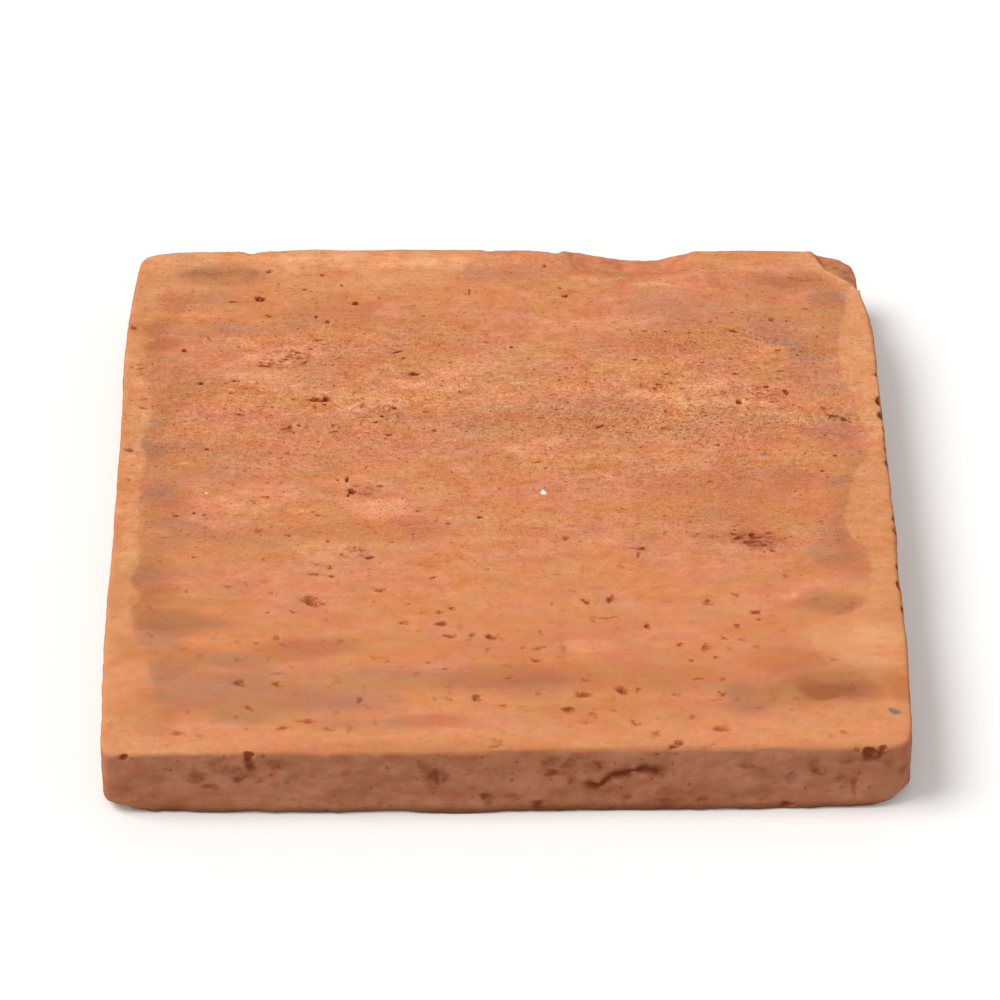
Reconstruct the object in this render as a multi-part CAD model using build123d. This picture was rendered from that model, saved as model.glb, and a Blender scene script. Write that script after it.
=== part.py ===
from build123d import *
import math
import os

# Square hand-moulded terracotta floor tile, nominally 200 x 200 x 20 mm, fired as one piece.
# The tile lies on its bed face. Origin: middle of the bed face. X runs along the front side,
# Y from the front side to the back side, Z up to the wearing face.

# Slab
side_length = 200.0
thickness = 20.0
draft_angle = 1.6
wearing_arris_radius = 1.6
bed_arris_radius = 1.2
arris_steps = 3

# Each side is a flat arc that bows out of the nominal square, as the wet clay left the mould
front_bow = 1.2
right_bow = 0.8
back_bow = 1.9
left_bow = 0.8

# How far each corner of the bed face lies off the nominal square along X and along Y, and its radius
front_left_shift = (0.0, 0.2)
front_right_shift = (-0.4, 1.2)
back_right_shift = (-2.2, -0.7)
back_left_shift = (1.0, 0.7)
front_left_radius = 5.0
front_right_radius = 5.0
back_right_radius = 3.0
back_left_radius = 8.0

# The broken corner at the back right: a flat fracture through the wearing face and both sides
break_along_back = 11.0
break_along_right = 16.5
break_drop = 4.8

# The shell-shaped spall out of the arris of the back side
spall_from_middle = 35.5
spall_length = 31.0
spall_reach = 12.0
spall_drop = 4.4

# Nicks out of the arrises: place along the side from its middle, length, width and depth
front_nicks = ((-94.0, 3.0, 2.6, 1.2), (-63.5, 2.8, 3.0, 1.4), (40.5, 4.0, 3.4, 1.4), (86.0, 6.0, 3.0, 1.2))
right_nicks = ((-39.0, 3.0, 2.4, 1.0), (9.0, 4.5, 2.0, 0.8), (28.0, 6.0, 2.4, 0.9))
back_nicks = ((-89.0, 7.0, 3.0, 0.9), (-69.0, 8.0, 4.0, 1.4), (-36.5, 3.0, 2.0, 0.8), (13.0, 9.0, 3.4, 1.1))
bed_nicks = ((-98.0, 8.0, 6.0, 2.8), (-35.0, 6.0, 3.0, 1.2), (68.0, 7.0, 5.0, 2.4), (98.0, 7.0, 5.0, 2.4))

# Burnt-out pits in the wearing face: centre, length, width and depth
face_pits = (
    (-64.5, 79.6, 2.6, 2.2, 1.3),
    (-38.8, 77.6, 2.0, 1.6, 1.2),
    (-48.0, 35.8, 4.6, 2.2, 1.2),
    (-22.8, 47.2, 2.6, 1.8, 1.1),
    (-39.0, -0.8, 2.0, 2.8, 1.2),
    (-49.0, -43.5, 3.6, 2.8, 1.5),
    (64.0, 34.8, 2.4, 2.0, 1.2),
    (74.5, 38.5, 2.0, 2.8, 1.1),
    (60.0, -20.5, 6.5, 3.0, 0.9),
    (35.0, -24.0, 3.2, 1.8, 0.9),
)

# Pits in the front side: place along the side from its middle, height, length, width and depth
front_pits = (
    (-76.5, 12.0, 3.6, 2.4, 1.0),
    (-65.5, 11.5, 3.0, 2.0, 1.0),
    (-18.5, 12.0, 3.0, 5.0, 1.4),
    (-5.5, 5.5, 2.4, 2.4, 1.0),
    (7.6, 3.4, 2.6, 2.6, 1.2),
    (11.5, 12.0, 3.4, 2.0, 1.2),
    (76.0, 12.5, 3.6, 2.4, 1.0),
    (88.0, 16.5, 3.6, 3.4, 2.0),
)

# The open crack in the front side: its points along the side and up, its width and depth
crack_points = ((19.5, 8.0), (23.5, 9.0), (26.0, 11.5), (30.5, 13.3), (37.0, 12.4))
crack_width = 0.9
crack_depth = 1.5

# How far the crack's cutter stands out of the clay
overcut = 2.0

half_side = side_length / 2
draft = math.tan(math.radians(draft_angle))
up = Vector(0, 0, 1)
outward_from = {
    "front": Vector(0, -1, 0),
    "right": Vector(1, 0, 0),
    "back": Vector(0, 1, 0),
    "left": Vector(-1, 0, 0),
}


def corners(inset):
    """The four corners of the outline before they are rounded, from the front left one round."""
    half = half_side - inset
    return [
        Vector(-half, -half) + Vector(front_left_shift),
        Vector(half, -half) + Vector(front_right_shift),
        Vector(half, half) + Vector(back_right_shift),
        Vector(-half, half) + Vector(back_left_shift),
    ]


def sides(inset):
    """The four sides between those corners. The front and the back run from left to right, the
    right and the left from front to back."""
    half = half_side - inset
    front_left, front_right, back_right, back_left = corners(inset)
    return {
        "front": ThreePointArc(front_left, (0, -half - front_bow), front_right),
        "right": ThreePointArc(front_right, (half + right_bow, 0), back_right),
        "back": ThreePointArc(back_left, (0, half + back_bow), back_right),
        "left": ThreePointArc(front_left, (-half - left_bow, 0), back_left),
    }


def outline(inset, height):
    """The whole outline of the slab at one height, everywhere inside the nominal one by the inset."""
    face = make_face(list(sides(inset).values()))
    radii = (front_left_radius, front_right_radius, back_right_radius, back_left_radius)
    for corner, radius in zip(corners(inset), radii):
        nearest = face.vertices().sort_by_distance(corner)[0]
        face = fillet(nearest, radius)
    return Pos(0, 0, height) * face


def slab():
    """The whole slab, a loft up through its outlines: it narrows with the draft, and both arrises
    are worn round, in narrow flats that keep to the arc within a tenth of a millimetre."""
    turns = [math.pi / 2 * step / arris_steps for step in range(arris_steps + 1)]
    outlines = []
    for turn in turns:
        worn = bed_arris_radius * (1 - math.sin(turn))
        height = bed_arris_radius * (1 - math.cos(turn))
        outlines.append(outline(height * draft + worn, height))
    for turn in turns:
        worn = wearing_arris_radius * (1 - math.cos(turn))
        height = thickness - wearing_arris_radius * (1 - math.sin(turn))
        outlines.append(outline(height * draft + worn, height))
    return loft(outlines, ruled=True)


def on_side(side, along, height):
    """The plane that touches a side at one place along it and one height. It faces outward."""
    point = sides(height * draft)[side] @ (0.5 + along / side_length)
    outward = outward_from[side]
    return Plane(origin=(point.X, point.Y, height), x_dir=up.cross(outward), z_dir=outward)


def on_arris(side, along, height, vertical, radius):
    """The plane that touches a worn arris halfway round. It faces outward, at a slope."""
    beside = on_side(side, along, height)
    slope = (outward_from[side] + vertical).normalized()
    rounding = radius * (math.sqrt(2) - 1)
    return Plane(origin=beside.origin - slope * rounding, x_dir=beside.x_dir, z_dir=slope)


def hollow(length, width, depth):
    """An egg sunk halfway into the XY plane, so that it leaves an oval hollow of this size."""
    return scale(Sphere(1), by=(length / 2, width / 2, depth))


def corner_break():
    """What broke off the back right corner: everything outside one sloping plane."""
    corner = corners(thickness * draft)[2] + up * thickness
    on_back = corner - Vector(break_along_back, 0, 0)
    on_right = corner - Vector(0, break_along_right, 0)
    below = corner - up * break_drop
    outward = (on_right - on_back).cross(below - on_back)
    fracture = Plane(origin=below, x_dir=on_right - on_back, z_dir=outward)
    size = 2 * (break_along_back + break_along_right)
    return fracture * Box(size, size, size, align=(Align.CENTER, Align.CENTER, Align.MIN))


def edge_spall():
    """The shell that a blow took out of the back arris: a ball that cuts the wearing face in an arc
    of the spall's length and reach, and cuts the back side down to its drop."""
    rim_radius = ((spall_length / 2) ** 2 + spall_reach**2) / (2 * spall_reach)
    outside = rim_radius - spall_reach
    lift = (rim_radius**2 - outside**2 - spall_drop**2) / (2 * spall_drop)
    edge = on_side("back", spall_from_middle, thickness).origin
    return Pos(edge + Vector(0, outside, lift)) * Sphere(math.hypot(rim_radius, lift))


def nicks():
    """Small bites out of the arrises."""
    wearing_arris = (thickness, up, wearing_arris_radius)
    bed_arris = (0, -up, bed_arris_radius)
    rows = (
        (front_nicks, "front", wearing_arris),
        (right_nicks, "right", wearing_arris),
        (back_nicks, "back", wearing_arris),
        (bed_nicks, "front", bed_arris),
    )
    bites = []
    for nicks_of_side, side, arris in rows:
        for along, length, width, depth in nicks_of_side:
            bites.append(on_arris(side, along, *arris) * hollow(length, width, depth))
    return bites


def pits():
    """Pits that straw and grit left in the wearing face and in the front side."""
    holes = []
    for x, y, length, width, depth in face_pits:
        holes.append(Pos(x, y, thickness) * hollow(length, width, depth))
    for along, height, length, width, depth in front_pits:
        holes.append(on_side("front", along, height) * hollow(length, width, depth))
    return holes


def crack():
    """The open crack in the front side: a narrow slot along a crooked line."""
    start, height = crack_points[0]
    surface = on_side("front", start, height).origin.Y
    outside = Plane(origin=(0, surface - overcut, 0), x_dir=(1, 0, 0), z_dir=(0, -1, 0))
    slot = outside * trace(Polyline(*crack_points), crack_width)
    return extrude(slot, -crack_depth - overcut)


damage = [corner_break(), edge_spall(), crack()] + nicks() + pits()
tile = slab() - damage

os.makedirs("parts", exist_ok=True)
export_step(tile, "parts/tile.step")
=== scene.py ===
import math

import bpy
import numpy as np
from mathutils import Matrix, Vector
from mathutils.geometry import delaunay_2d_cdt


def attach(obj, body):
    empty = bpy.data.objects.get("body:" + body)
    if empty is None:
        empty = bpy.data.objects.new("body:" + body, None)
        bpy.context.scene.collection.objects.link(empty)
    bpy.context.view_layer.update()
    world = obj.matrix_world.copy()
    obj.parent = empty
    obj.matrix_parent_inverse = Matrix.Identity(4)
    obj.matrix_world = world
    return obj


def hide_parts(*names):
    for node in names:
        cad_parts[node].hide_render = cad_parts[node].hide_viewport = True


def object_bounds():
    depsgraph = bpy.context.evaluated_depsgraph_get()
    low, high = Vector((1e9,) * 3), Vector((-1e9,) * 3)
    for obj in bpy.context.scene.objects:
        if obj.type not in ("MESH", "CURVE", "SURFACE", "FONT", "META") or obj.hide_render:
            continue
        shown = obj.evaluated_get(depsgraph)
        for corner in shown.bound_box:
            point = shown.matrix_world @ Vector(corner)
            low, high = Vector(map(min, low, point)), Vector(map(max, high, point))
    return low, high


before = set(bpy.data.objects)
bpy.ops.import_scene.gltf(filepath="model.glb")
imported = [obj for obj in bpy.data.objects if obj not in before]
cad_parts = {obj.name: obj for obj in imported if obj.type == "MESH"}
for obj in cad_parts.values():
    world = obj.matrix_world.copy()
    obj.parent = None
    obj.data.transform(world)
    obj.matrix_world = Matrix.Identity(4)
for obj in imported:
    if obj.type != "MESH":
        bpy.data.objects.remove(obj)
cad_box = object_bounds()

# Everything is worked out in millimetres, in the frame of the CAD: X along the front side, Y from the
# front side to the back side, Z up. Lengths are turned into metres where Blender gets them.
MM = 0.001
THICKNESS = 20.0
MID_HEIGHT = THICKNESS / 2
BOX_ROOM = 0.01

# The edge between the wearing face and the sides before any wear, anticlockwise from the front left
OUTLINE = (
    (-99.7, -88), (-99.6, -94.5), (-99.1, -98.0), (-97.5, -99.7), (-93.5, -100.2), (-84, -100.3),
    (-72, -100.2), (-60, -99.9), (-45, -100.1), (-30, -99.8), (-15, -100.0), (0, -99.4), (15, -99.2),
    (30, -99.1), (45, -98.8), (58, -99.1), (67, -99.0), (75, -99.3), (82, -99.3), (90, -99.1),
    (95.4, -98.5), (98.3, -96.9), (99.3, -93.6), (99.6, -86), (99.8, -76), (100.3, -58), (99.9, -42),
    (100.2, -24), (100.6, -11), (100.3, -2), (100.2, 16), (100.1, 38), (99.9, 55), (99.5, 67), (98.8, 74.5),
    (97.7, 79.5), (97.0, 87), (96.7, 93), (95.8, 96.8), (93.2, 98.6), (88.5, 99.2), (81, 99.2), (71, 99.7),
    (60, 99.6), (50, 99.8), (40, 100.0), (30, 100.2), (15, 100.1), (2, 100.4), (-20, 100.8), (-35, 100.8),
    (-50, 101.0), (-62, 100.6), (-75, 100.3), (-84, 100.2), (-90.5, 99.6), (-94.6, 98.3), (-96.9, 96.0),
    (-98.0, 92), (-98.4, 86), (-99.3, 75), (-100.2, 60), (-100.2, 45), (-99.9, 22), (-99.8, 2),
    (-100.1, -25), (-100.5, -54), (-100.1, -74),
)
CURVE_STEPS = 24
CORNER_REACH = 4.5
# How far the bed stands out of that edge, at places along the front side; elsewhere the draft alone
FRONT_DRAFT = (
    (-100, 0.4), (-85, 0.2), (-60, 1.0), (-25, 1.3), (0, 1.8), (57, 1.8), (70, 1.4), (80, 1.0), (92, 0.7),
    (100, 0.5),
)
DRAFT, BACK_DRAFT = 0.4, 1.0
# Radii of the arrises: of the wearing face at the front, at both sides and at the back, and of the bed
FRONT_ARRIS, SIDE_ARRIS, BACK_ARRIS, BED_ARRIS = 1.5, 1.2, 0.8, 1.1
BROKEN_ARRIS = 0.3

# The sheet that covers the sides runs down a profile: a strip of the wearing face, its arris, the
# side, the arris of the bed and a strip of the bed. These are the places where one ends.
STRIP = 3.2
FACE_END, ARRIS_END, SIDE_END, BED_ARRIS_END, PROFILE_END = 2.0, 4.4, 21.2, 23.0, 25.0
# The highest place of a mark of the front side, up on the arris: a share of the side, counted downward
HIGHEST_SHARE = -0.14

# How far apart the points of the mesh lie, and how close two of them may come
FRONT_STEP, SIDE_STEP, FACE_STEP, DAMAGE_STEP, BED_STEP = 0.6, 0.85, 1.25, 0.5, 5.0
FACE_RING_STEP, SIDE_RING_STEP, CRACK_STEP = 0.36, 0.4, 0.45
FACE_GAP, SIDE_GAP = 0.13, 0.16
ROW_SHARE = 0.87
ARRIS_ROWS, SIDE_ROWS, BED_ARRIS_ROWS = 6, 24, 4

# Marks in the wearing face: x, y, length along x, length along y, how dark and deep (0 to 3), and the
# turn in degrees of those that are turned
FACE_MARKS = (
    # the back third
    (-62.2, 91.1, 2.2, 1.5, 2), (-64.6, 79.1, 2.4, 2.2, 3), (-38.8, 76.9, 2.0, 1.3, 3),
    (-71.5, 77.8, 2.4, 1.2, 2), (-62, 71.4, 1.8, 1.2, 2), (-49.3, 71, 1.2, 1.2, 2),
    (-46.2, 68.9, 1.2, 2.0, 2, -20), (-84.1, 56.8, 1.3, 1.3, 3), (-79.3, 42.9, 1.2, 1.2, 3),
    (-98, 66.8, 2.0, 1.6, 2), (-97.8, 49.9, 1.2, 1.0, 1), (-52.6, 82.9, 1.2, 1.0, 2),
    (-42.6, 84.7, 1.2, 0.8, 2), (-47.8, 89.4, 1.8, 1.1, 2, 30), (-51.2, 89.2, 0.9, 0.8, 1),
    (-77.7, 61.7, 0.6, 2.2, 2, 25), (-69.8, 58.2, 1.6, 0.8, 1, 20), (-50.7, 57.2, 1.5, 0.9, 2),
    (-48.5, 60.9, 3.4, 0.8, 2, 4), (-62.8, 49.9, 4.0, 0.9, 2, -8), (-57, 52.7, 2.0, 0.9, 2, 20),
    (-52, 51.4, 2.0, 0.9, 2, 25), (-54.0, 55.7, 1.6, 1.2, 2), (-70.5, 43.9, 1.6, 0.9, 2),
    (-67.5, 40.6, 1.6, 0.7, 2), (-71, 38.8, 1.4, 0.8, 2), (-8.2, 81.4, 0.7, 3.0, 2),
    (12.3, 92.7, 0.9, 1.8, 2), (16.3, 83.1, 1.2, 1.0, 2), (17.5, 79.6, 1.7, 1.1, 3),
    (-3.7, 59.8, 1.3, 0.8, 2), (2.9, 57.6, 1.0, 0.8, 3), (-27.5, 55.8, 2.8, 0.7, 3, 20),
    (-27.3, 58.2, 1.6, 0.5, 1), (-25.8, 53.2, 1.6, 0.9, 2, 25), (-23, 46.6, 2.2, 1.6, 3),
    (8.8, 48.2, 0.9, 0.7, 1), (7.3, 52.4, 0.8, 0.8, 1), (12.6, 50.4, 1.2, 0.5, 1), (22.4, 43, 1.1, 0.8, 1),
    (9.5, 34.8, 0.9, 0.8, 1), (82.2, 73.3, 1.8, 0.7, 2), (72.8, 68.9, 1.8, 1.4, 2), (77, 68.2, 1.6, 0.8, 1),
    (51.7, 68.6, 1.0, 0.6, 1), (56.5, 68.2, 1.0, 0.8, 1), (66.5, 68.8, 0.9, 0.8, 1),
    (62.2, 71.9, 1.8, 0.7, 1), (62.2, 64, 2.2, 0.9, 3, -14), (65.3, 64.3, 1.0, 0.8, 1),
    (68.3, 60.6, 0.9, 1.6, 1), (38.5, 64.2, 1.8, 0.8, 2), (34.8, 64.6, 1.0, 0.7, 1),
    (44.2, 64, 1.2, 0.9, 1), (50.5, 63.4, 1.4, 0.7, 2, 25), (84.5, 61.3, 1.2, 0.8, 1),
    (54, 56.7, 0.9, 0.8, 1), (49.1, 56.3, 1.0, 0.7, 1), (35.7, 52, 1.3, 0.8, 3),
    (73.7, 55.7, 1.8, 0.8, 2, 10), (78.8, 53.6, 1.0, 0.8, 1), (55.7, 49.9, 1.6, 0.7, 1),
    (61.2, 52.2, 0.9, 1.2, 1), (44, 46, 2.2, 0.7, 2, 10), (62, 45.9, 2.0, 0.9, 2, -10),
    (74, 47, 2.6, 0.6, 2), (83.5, 46.2, 1.2, 1.0, 1), (73, 43.8, 1.4, 0.7, 1), (37, 44.5, 0.7, 0.6, 1),
    (41.6, 41.6, 1.6, 1.0, 2), (45, 42, 1.0, 0.8, 2), (69.9, 40.4, 1.2, 1.0, 3),
    (74.9, 38.1, 1.2, 2.2, 3, 10), (87.8, 39.2, 1.2, 0.6, 1), (47.5, 39.7, 1.8, 0.6, 1),
    (40.4, 39.7, 1.6, 0.8, 1), (61.5, 40, 1.4, 0.5, 1, 20), (27, 57.6, 1.0, 0.6, 1),
    (-38.5, 62.2, 1.2, 0.6, 1), (-20.5, 71.2, 1.0, 0.8, 1), (-32.5, 79, 0.9, 1.0, 1),
    (-33.5, 59.7, 1.2, 0.5, 1), (-36.8, 49.9, 1.4, 0.6, 1, -6), (-13.5, 51.2, 1.5, 0.6, 1),
    (-44.5, 50.2, 1.0, 0.7, 1), (-95.5, 49, 2.2, 0.9, 1, 18), (-92, 83.8, 1.0, 0.6, 1),
    (29, 55, 1.6, 0.5, 1), (46.5, 53, 1.2, 0.6, 1), (24.2, 50, 0.8, 0.7, 1),
    # the middle third
    (-48.4, 35.6, 5.0, 1.3, 3, -4), (-46.2, 36.3, 1.8, 1.4, 3), (-49, 32.8, 1.2, 0.7, 2),
    (-46.5, 33.7, 1.4, 0.7, 2, -10), (-54.8, 35.9, 1.2, 0.6, 2), (-58, 36.1, 0.9, 0.5, 1),
    (-68.5, 29.8, 3.4, 0.7, 2, -8), (-62.2, 33.1, 0.9, 0.6, 1), (-60.2, 32.8, 0.9, 0.8, 2),
    (-63.2, 30.4, 1.6, 0.5, 1), (-36.3, 33.4, 2.0, 2.2, 1, 30), (-28.2, 32.3, 1.6, 0.9, 3),
    (-22.5, 31.9, 0.8, 0.5, 1), (-19.9, 30.7, 1.6, 0.7, 3), (-31.4, 28.9, 1.2, 0.9, 3),
    (-30.2, 27.4, 0.8, 0.5, 2), (-33.0, 26.4, 1.8, 0.7, 2, 30), (-18.5, 28.4, 0.9, 0.5, 1),
    (-55.4, 24.6, 1.0, 2.0, 2, -20), (-53.1, 25.1, 1.4, 0.7, 2), (-54.4, 22.2, 0.9, 0.6, 2),
    (-44.2, 25.1, 0.7, 1.4, 2), (-43.6, 22.7, 2.2, 0.7, 2, 8), (-17.7, 22.9, 1.1, 0.8, 3),
    (-29.7, 21.2, 1.8, 0.8, 3, 6), (-4.3, 23.7, 0.8, 0.6, 1), (25.5, 24.2, 2.2, 0.9, 3, 30),
    (20.5, 24, 1.6, 0.4, 1), (-82.8, 21.4, 0.9, 0.7, 1), (-76.9, 15.8, 1.1, 0.8, 3),
    (-82.8, 15.9, 0.7, 0.5, 2), (-60.4, 14.2, 1.2, 0.7, 2, -20), (-55.8, 13.8, 1.2, 0.6, 3),
    (-94.2, 32.8, 2.6, 0.8, 2, -30), (-94, 36.4, 2.2, 1.2, 1, 15), (-97, 15.7, 2.2, 1.5, 2),
    (-97, 3.4, 1.8, 1.2, 1), (-95.8, 9.4, 1.0, 0.5, 1), (-60.8, 2, 1.4, 0.9, 1), (-69.5, 1.4, 1.2, 0.7, 1),
    (-40.3, 3.2, 0.9, 1.8, 3, -15), (-42.6, 3, 0.9, 0.7, 2), (-39, -1.4, 1.8, 2.2, 3),
    (-39.9, -3, 0.8, 1.2, 3), (-43.4, -3.2, 1.4, 0.6, 1), (-31.8, 0.6, 1.8, 0.9, 2),
    (-35.5, 7.9, 0.7, 1.6, 1, -20), (-61.5, -3.6, 2.4, 0.7, 2), (-64, -6, 1.2, 0.7, 1),
    (-79.4, -9.9, 0.8, 0.7, 3), (-84, -10.9, 1.7, 0.8, 2), (-76.7, -10.6, 1.4, 0.7, 2),
    (-49, -9.6, 1.2, 0.7, 1), (-47.6, -11, 1.8, 0.9, 1), (-78.8, -26.9, 1.3, 0.8, 2),
    (-61, -28.4, 1.2, 0.8, 1), (-48, -30, 2.6, 0.8, 1, -6), (-44.3, -31.6, 1.2, 0.8, 2),
    (-55, -18.8, 1.7, 1.0, 2), (-62.5, -16.9, 2.8, 1.2, 1, 25), (-45, -21.1, 0.9, 1.6, 2),
    (-41.3, -26.1, 1.2, 1.4, 2), (-34.3, -27.6, 1.8, 1.0, 3), (-38, -23.6, 0.9, 0.7, 2),
    (-36.6, -24.5, 1.1, 0.7, 2), (-36.5, -27.2, 1.2, 0.5, 1), (-28.9, -21.3, 1.2, 0.7, 1),
    (-23.2, -18.6, 1.5, 0.7, 1, 30), (10.6, 16.6, 2.8, 0.4, 1, 28), (11.5, 13.2, 1.6, 0.4, 1, -6),
    (9.2, 10.1, 2.4, 0.8, 2, 12), (17.7, 15.9, 0.7, 0.5, 1), (-21, -0.4, 1.2, 0.6, 1),
    (-17, -0.5, 0.9, 0.5, 1), (-22.1, -9.4, 1.2, 0.7, 2), (-6.1, -12, 1.5, 0.8, 3),
    (-14.2, -14.4, 0.7, 1.5, 2), (-17.3, -13.6, 1.2, 0.6, 1), (8, -16.3, 1.4, 0.6, 2),
    (10.8, -15.4, 1.6, 0.5, 1, -8), (15.7, -20.3, 2.2, 1.8, 1), (19.5, -21.8, 1.5, 0.8, 1),
    (2.5, -22.3, 2.0, 0.8, 1), (-14.2, -29, 1.4, 0.8, 1), (-18.5, -31.1, 1.0, 0.7, 1),
    (29.7, -10.4, 1.6, 0.5, 1), (30.5, 14.8, 1.0, 0.5, 1), (34.4, -24.6, 3.6, 0.9, 3),
    (34.0, -26.8, 0.9, 2.2, 2), (29.5, -31.8, 1.6, 1.0, 1), (62.4, 34.2, 1.7, 1.6, 3),
    (64.6, 35.2, 0.8, 0.7, 2), (71.2, 34.1, 1.6, 0.7, 2, 25), (49.8, 32.9, 1.1, 0.7, 2),
    (53.5, 28.3, 0.9, 0.6, 2), (43, 30.4, 1.2, 1.4, 1), (42.5, 23.4, 2.6, 1.4, 1, 12),
    (45.3, 20.2, 1.0, 0.6, 1), (57.8, 21.2, 1.0, 0.6, 1), (56.2, 16.4, 0.9, 1.2, 2),
    (72.1, 25.5, 0.9, 0.6, 1), (60.5, 32, 3.2, 0.5, 1, 4), (86.6, 28.2, 2.4, 0.7, 3, -12),
    (89.6, 26.4, 2.4, 0.9, 2, -6), (92.9, 26.3, 0.8, 0.6, 1), (84.5, 31.3, 1.6, 1.8, 1, -20),
    (82.8, 5.8, 1.6, 0.9, 2), (86.5, 11.9, 1.0, 0.8, 3), (93, 13.6, 1.0, 0.6, 1), (75.3, -2.4, 1.1, 0.7, 1),
    (53.5, 1.6, 1.8, 1.0, 1), (36.5, -3.1, 1.1, 0.6, 1), (43, -3.4, 0.9, 0.6, 1),
    (58.6, -19.2, 1.6, 1.0, 2), (63.2, -19.4, 1.8, 1.0, 3, 20), (59.9, -20.8, 2.8, 1.0, 2, 12),
    (67.6, -18.9, 2.6, 0.8, 2, 8), (61.6, -22.5, 1.4, 0.9, 2), (65.8, -23.2, 1.8, 0.9, 1, -20),
    (68.4, -25.8, 1.4, 0.9, 2), (71.6, -21, 1.6, 0.7, 1), (66.2, -26.2, 0.9, 0.8, 1),
    (49.6, -19, 1.8, 0.7, 1), (53.4, -19.6, 1.0, 0.5, 1), (46.8, -18.2, 1.4, 0.5, 1),
    (90.5, -20.8, 1.1, 0.6, 1), (76.5, -5.8, 1.2, 0.5, 1), (55.5, -29.6, 1.4, 0.7, 1),
    (50.5, -31.1, 1.1, 0.6, 1),
    # the front third
    (-49, -44.2, 3.2, 2.2, 3), (-46.2, -44.8, 1.6, 1.2, 2), (-53.4, -48.1, 1.2, 0.9, 2),
    (-59.6, -48.5, 1.2, 0.8, 2), (-58.8, -40.9, 1.1, 1.0, 2), (-80, -40.6, 1.4, 0.9, 1),
    (-70, -38.6, 2.2, 0.8, 1), (-65, -38.1, 1.2, 0.7, 1), (-48.2, -34.1, 3.0, 0.8, 2),
    (-43.7, -35, 1.3, 0.8, 2, -30), (-31.5, -40.1, 2.2, 1.3, 3), (-33, -44.4, 2.0, 0.9, 1),
    (-57.4, -57.6, 1.1, 1.8, 2), (-55.4, -60.9, 1.8, 0.7, 1), (-62, -60.1, 1.6, 0.7, 1),
    (-66.5, -66.2, 2.0, 1.4, 1), (-66, -74.6, 2.6, 1.8, 2), (-56.8, -71.2, 2.8, 0.9, 1),
    (-56.8, -75.2, 2.0, 1.2, 2), (-36.2, -81.2, 1.8, 1.5, 2), (-63.5, -83.8, 1.3, 1.3, 1),
    (-49, -88.6, 3.6, 1.2, 2, 8), (-55, -91.2, 2.8, 1.0, 2, 6), (-44, -91.6, 3.0, 1.2, 1),
    (-64, -91.2, 1.8, 0.8, 1), (-80.6, -92.6, 2.2, 1.5, 2), (-75.4, -93.6, 2.0, 0.9, 1),
    (-94, -91.6, 1.2, 0.9, 1), (-97.6, -49.6, 1.1, 1.2, 1), (-29.6, -66.9, 1.2, 0.8, 1),
    (-18.3, -35.3, 2.0, 0.7, 3), (-24.6, -45.8, 2.6, 0.7, 1, 28), (-20.6, -48.8, 2.6, 0.8, 1),
    (-16.2, -48.8, 1.8, 1.0, 2), (-13.4, -47.5, 1.3, 0.9, 2), (-4.5, -48.1, 1.4, 0.6, 1),
    (-4.2, -32.4, 1.1, 0.8, 1), (-25.2, -52.8, 2.6, 1.0, 2), (-16, -53.2, 2.0, 1.2, 3),
    (-14, -57.6, 2.6, 1.0, 3), (-8.2, -57.2, 1.8, 1.5, 2), (-3.8, -58, 1.5, 1.3, 3),
    (9, -56.8, 1.2, 1.1, 1), (8.2, -62.3, 2.2, 1.3, 2), (7.4, -66.8, 1.7, 1.1, 3),
    (4.4, -62.3, 1.8, 0.8, 1), (-19.3, -67.9, 1.5, 0.8, 1), (-16, -69.6, 3.2, 0.7, 1),
    (-7.5, -80.4, 1.6, 1.3, 3), (-17.5, -81, 1.5, 1.0, 1), (-14.4, -80.8, 1.3, 0.8, 1),
    (0.7, -73.6, 1.7, 0.9, 1), (-0.6, -83.6, 2.4, 0.8, 1), (3.6, -83.8, 1.8, 0.7, 1),
    (19, -79.6, 2.4, 1.5, 3), (28.6, -78.4, 1.9, 1.5, 3), (15.2, -84.8, 2.4, 1.1, 3),
    (26.4, -85.2, 1.6, 1.0, 1), (21.2, -86.9, 1.8, 1.2, 1), (19.2, -89.6, 2.2, 1.2, 1),
    (31.4, -90, 1.8, 1.3, 2), (32.6, -78.2, 1.2, 1.4, 1), (19.8, -74.4, 1.8, 0.9, 1),
    (-3, -98.2, 2.4, 1.2, 2), (26.6, -44.2, 1.3, 2.4, 3, -15), (20.6, -45.2, 1.5, 1.2, 3),
    (12, -45.6, 1.3, 1.2, 1), (25.5, -51, 4.6, 0.7, 2), (22, -52.2, 1.4, 1.0, 1),
    (17.6, -40.8, 1.6, 0.7, 1), (62.8, -49.2, 1.9, 1.3, 3), (64.4, -48.2, 1.2, 0.5, 1),
    (63.6, -52.2, 1.2, 0.7, 2), (58.3, -42.4, 2.0, 0.7, 3, -5), (51, -45.5, 1.6, 1.7, 2, -20),
    (58.4, -54.8, 1.2, 1.7, 2), (35.4, -54.4, 1.4, 1.0, 3), (43.5, -61.4, 1.5, 1.2, 2),
    (49.8, -62.2, 1.4, 3.0, 2, -20), (54.8, -59.2, 1.6, 0.8, 2), (58.8, -59.4, 1.6, 0.9, 1),
    (46.2, -67.2, 1.6, 1.1, 2), (52.4, -66, 1.6, 1.1, 2), (47.6, -74, 2.4, 0.8, 2),
    (53.4, -74, 1.6, 0.9, 2), (41.6, -79.5, 1.6, 1.3, 1), (53.2, -79.6, 1.6, 1.3, 2),
    (45.6, -88, 1.8, 1.2, 1), (52.4, -92.2, 2.8, 1.9, 2), (71.2, -35.6, 1.5, 1.6, 1),
    (81.8, -67.4, 1.8, 1.0, 1), (62.4, -85, 1.6, 0.8, 1), (82.6, -93.8, 1.8, 1.2, 1),
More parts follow.
